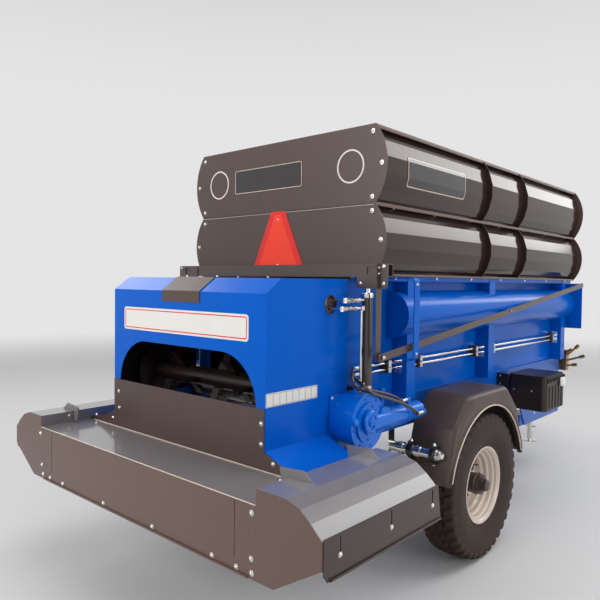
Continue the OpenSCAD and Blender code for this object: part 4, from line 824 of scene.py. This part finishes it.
def ferrule(at, direction, r=11.5):
    """A crimped sleeve with ribs and a hexagon at its foot."""
    rows = [[r * 0.7, 0], [r * 0.95, 0], [r * 0.95, 12], [r * 0.8, 13], [r * 0.8, 16]]
    rows += [[r * (1 if k % 2 else 0.93), 17 + 3 * k] for k in range(8)] + [[r * 0.8, 41]]
    return revolve(rows, at, direction, 18, 6, (1, 2))


for name, points in (("upper", UPPER), ("lower", LOWER)):
    path = smooth_path(points, 5)
    obj = piece(f"{name}_flexible_hose", sweep(path, disc(8, 12)), hose, replaces=(f"{name}_hose",))
    piece(f"{name}_hose_ends", join([ferrule(points[0], REAR), ferrule(points[-1], REAR)]), zinc)

# paired pressure pipes: clamps along the hopper's side, unions where they leave the housing
CLAMP_XS, PIPES_Z = (240, 570, 1300, 1570, HOPPER - 306), 1170
blocks = join([pad(54, 74, 8, [x, -596, PIPES_Z], ON_FRONT, (-13, 13)) for x in CLAMP_XS])
caps = join([pad(26, 66, 5, [x, -623, PIPES_Z], ON_RIGHT, (0, 4)) for x in CLAMP_XS])
piece("pipe_clamp_blocks", blocks, plastic)
piece("pipe_clamp_caps", caps, zinc)
bolts("pipe_clamp_bolts", [[x, -627, PIPES_Z] for x in CLAMP_XS], RIGHT, 9)
unions = [revolve([[r, 0], [r, long]], [start + x, -680, z], FRONT, 18, 6, (0, 1))
          for start, z in ((-243, 1540), (-267, 1500))
          for x, r, long in ((14, 13, 22), (44, 11, 30), (92, 12.5, 20))]
piece("feed_pipe_unions", join(unions), zinc)
membrane = revolve([[41.5, 0], [41.5, 2], [40, 3], [0.5, 3]], [PORT_X, -598, PORT_Z], RIGHT, 40)
grommet = hoop([[46, 0], [46, 3], [41, 5], [40, -4], [43, -6]], [PORT_X, -HOUSING_Y, PORT_Z], RIGHT, 48)
piece("port_membrane", membrane, hose)
piece("port_grommet", grommet, hose)


# ---------- cylinders, jack, drawbar ----------

# a gland at the top and a foot ring at the bottom of each gate cylinder
gland = revolve([[28, 0], [31, 3], [31, 22], [28, 26], [16, 28]], [-56.5, -680, 1549], UP, 28)
foot = revolve([[29, 0], [29, 16]], [-56.5, -680, 1095], UP, 28)
piece("cylinder_glands", both(join([gland, foot])), zinc)
grip = revolve([[9, 0], [13, 4], [14, 40], [13, 82], [9, 86]], [3580, -70, 884], UP, 20)
piece("jack_grip", grip, plastic)
bolts("drawbar_bolts", [[x, y, 590] for x in (3990, 4110) for y in (-70, 70)], UP, 12)


# ---------- toolbox ----------

latch = join([pad(88, 62, 12, [BOX_X + 298, -BOX_Y, 922], ON_RIGHT, (0, 8)),
              pad(30, 44, 9, [BOX_X + 298, -BOX_Y - 8.2, 922], ON_RIGHT, (0, 5))])
piece("toolbox_latches", latch, plate_white, "box_lid")
bolts("toolbox_screws", [[BOX_X, y, 872] for y in (-841, -712)], REAR, 6)
mount = pad(84, 96, 5, [BOX_X - 17, -634, 931], ON_REAR, (-5, 0))
piece("toolbox_bracket", mount, box_plastic)
bolts("toolbox_bracket_bolts", [[BOX_X - 17, -615, z] for z in (960, 902)], REAR, 7)


# ---------- the setting ----------

PALE = (0.78, 0.78, 0.785, 1)       # what eyes and mirrors see round the object, near the ground
ZENITH = (0.30, 0.30, 0.31, 1)      # and overhead
FILL = (0.50, 0.50, 0.505, 1)       # the soft light from all round
FLOOR = (0.65, 0.65, 0.652, 1)
FLOOR_BLEND = (6.0, 16.0)           # between these distances the floor goes over into the surroundings
EYE, LENS = (-4.252, -2.451, 1.633), 36.36
YAW, PITCH, ROLL = [math.radians(a) for a in (41.788, -1.83, 0.65)]


def seen_rays(tree):
    """1 for rays from the eye, a mirror or glass, 0 for those that carry soft light."""
    rays = add_node(tree, "LightPath", {}).outputs
    seen = math_node(tree, "ADD", rays["Is Camera Ray"], rays["Is Glossy Ray"])
    return math_node(tree, "MINIMUM", math_node(tree, "ADD", seen, rays["Is Transmission Ray"]), 1.0)


def ease(tree, value, low, high):
    """0 below low and 1 above high, with an even curve between."""
    return add_node(tree, "MapRange", {"Value": value, "From Min": low, "From Max": high},
                    interpolation_type="SMOOTHSTEP").outputs["Result"]


def studio_floor():
    """A pale sheet on the ground that goes over into the pale surroundings far off."""
    reach = 80
    corners = [(x * reach, y * reach, 0) for x, y in ((-1, -1), (1, -1), (1, 1), (-1, 1))]
    mesh = bpy.data.meshes.new("studio_floor")
    mesh.from_pydata(corners, [], [(0, 1, 2, 3)])
    obj = placed("studio_floor", mesh)
    m = bpy.data.materials.new("studio_floor")
    m.use_nodes = True
    t = m.node_tree
    p = t.nodes["Principled BSDF"]
    feed(t, p, {"Base Color": FLOOR, "Roughness": 0.75, "Specular IOR Level": 0.2})
    where = add_node(t, "TexCoord", {}).outputs["Object"]
    far = add_node(t, "VectorMath", {0: where}, operation="LENGTH").outputs["Value"]
    glow = add_node(t, "Emission", {"Color": PALE}).outputs[0]
    share = math_node(t, "MULTIPLY", ease(t, far, *FLOOR_BLEND), seen_rays(t))
    mix = add_node(t, "MixShader", {0: share, 1: p.outputs[0], 2: glow})
    feed(t, t.nodes["Material Output"], {"Surface": mix.outputs[0]})
    mesh.materials.append(m)


def studio_world():
    """Even soft light; seen by eyes and mirrors it is pale near the ground and darker overhead."""
    world = bpy.data.worlds.new("studio_world")
    bpy.context.scene.world = world
    world.use_nodes = True
    t = world.node_tree
    way = add_node(t, "TexCoord", {}).outputs["Generated"]
    up = add_node(t, "SeparateXYZ", {0: way}).outputs["Z"]
    sky = mix_colours(t, ease(t, up, 0.25, 0.85), PALE, ZENITH)
    feed(t, t.nodes["Background"], {"Color": mix_colours(t, seen_rays(t), FILL, sky)})


def area_lamp(name, at, to, size, radiance):
    """A soft panel that faces a point; its power is its radiance times pi times its area."""
    lamp = bpy.data.lights.new(name, "AREA")
    lamp.shape, lamp.size, lamp.size_y = "RECTANGLE", size[0], size[1]
    lamp.energy = radiance * math.pi * size[0] * size[1]
    obj = placed(name, lamp)
    obj.location = at
    obj.rotation_euler = (Vector(to) - Vector(at)).to_track_quat("-Z", "Y").to_euler()
    obj.visible_camera = False


studio_floor()
studio_world()
area_lamp("overhead_soft", (-1.0, -0.5, 7.0), (-0.5, 0, 1), (6, 5), 1.7)
area_lamp("rear_soft", (-7.5, 1.0, 3.6), (-1, 0, 1.2), (4, 3), 4.6)
area_lamp("left_soft", (-2.0, 7.0, 5.5), (-1, 0, 1.2), (5, 3), 2.6)
area_lamp("right_soft", (-1.5, -7.0, 2.6), (0, 0, 1.2), (5, 3), 2.4)
area_lamp("long_strip", (5.5, -2.9, 4.75), (5.5, -0.72, 2.2), (13, 1.5), 3.2)

camera_data = bpy.data.cameras.new("view_camera")
camera_data.lens, camera_data.sensor_width = LENS, 36.0
camera = placed("view_camera", camera_data)
ahead = np.array([math.cos(PITCH) * math.cos(YAW), math.cos(PITCH) * math.sin(YAW), math.sin(PITCH)])
level = np.array([math.sin(YAW), -math.cos(YAW), 0.0])
right = math.cos(ROLL) * level + math.sin(ROLL) * np.cross(level, ahead)
place = np.eye(4)
place[:3] = np.stack([right, np.cross(right, ahead), -ahead, EYE], 1)
camera.matrix_world = Matrix(place.tolist())
bpy.context.scene.camera = camera
bpy.context.scene.view_settings.view_transform = "Standard"
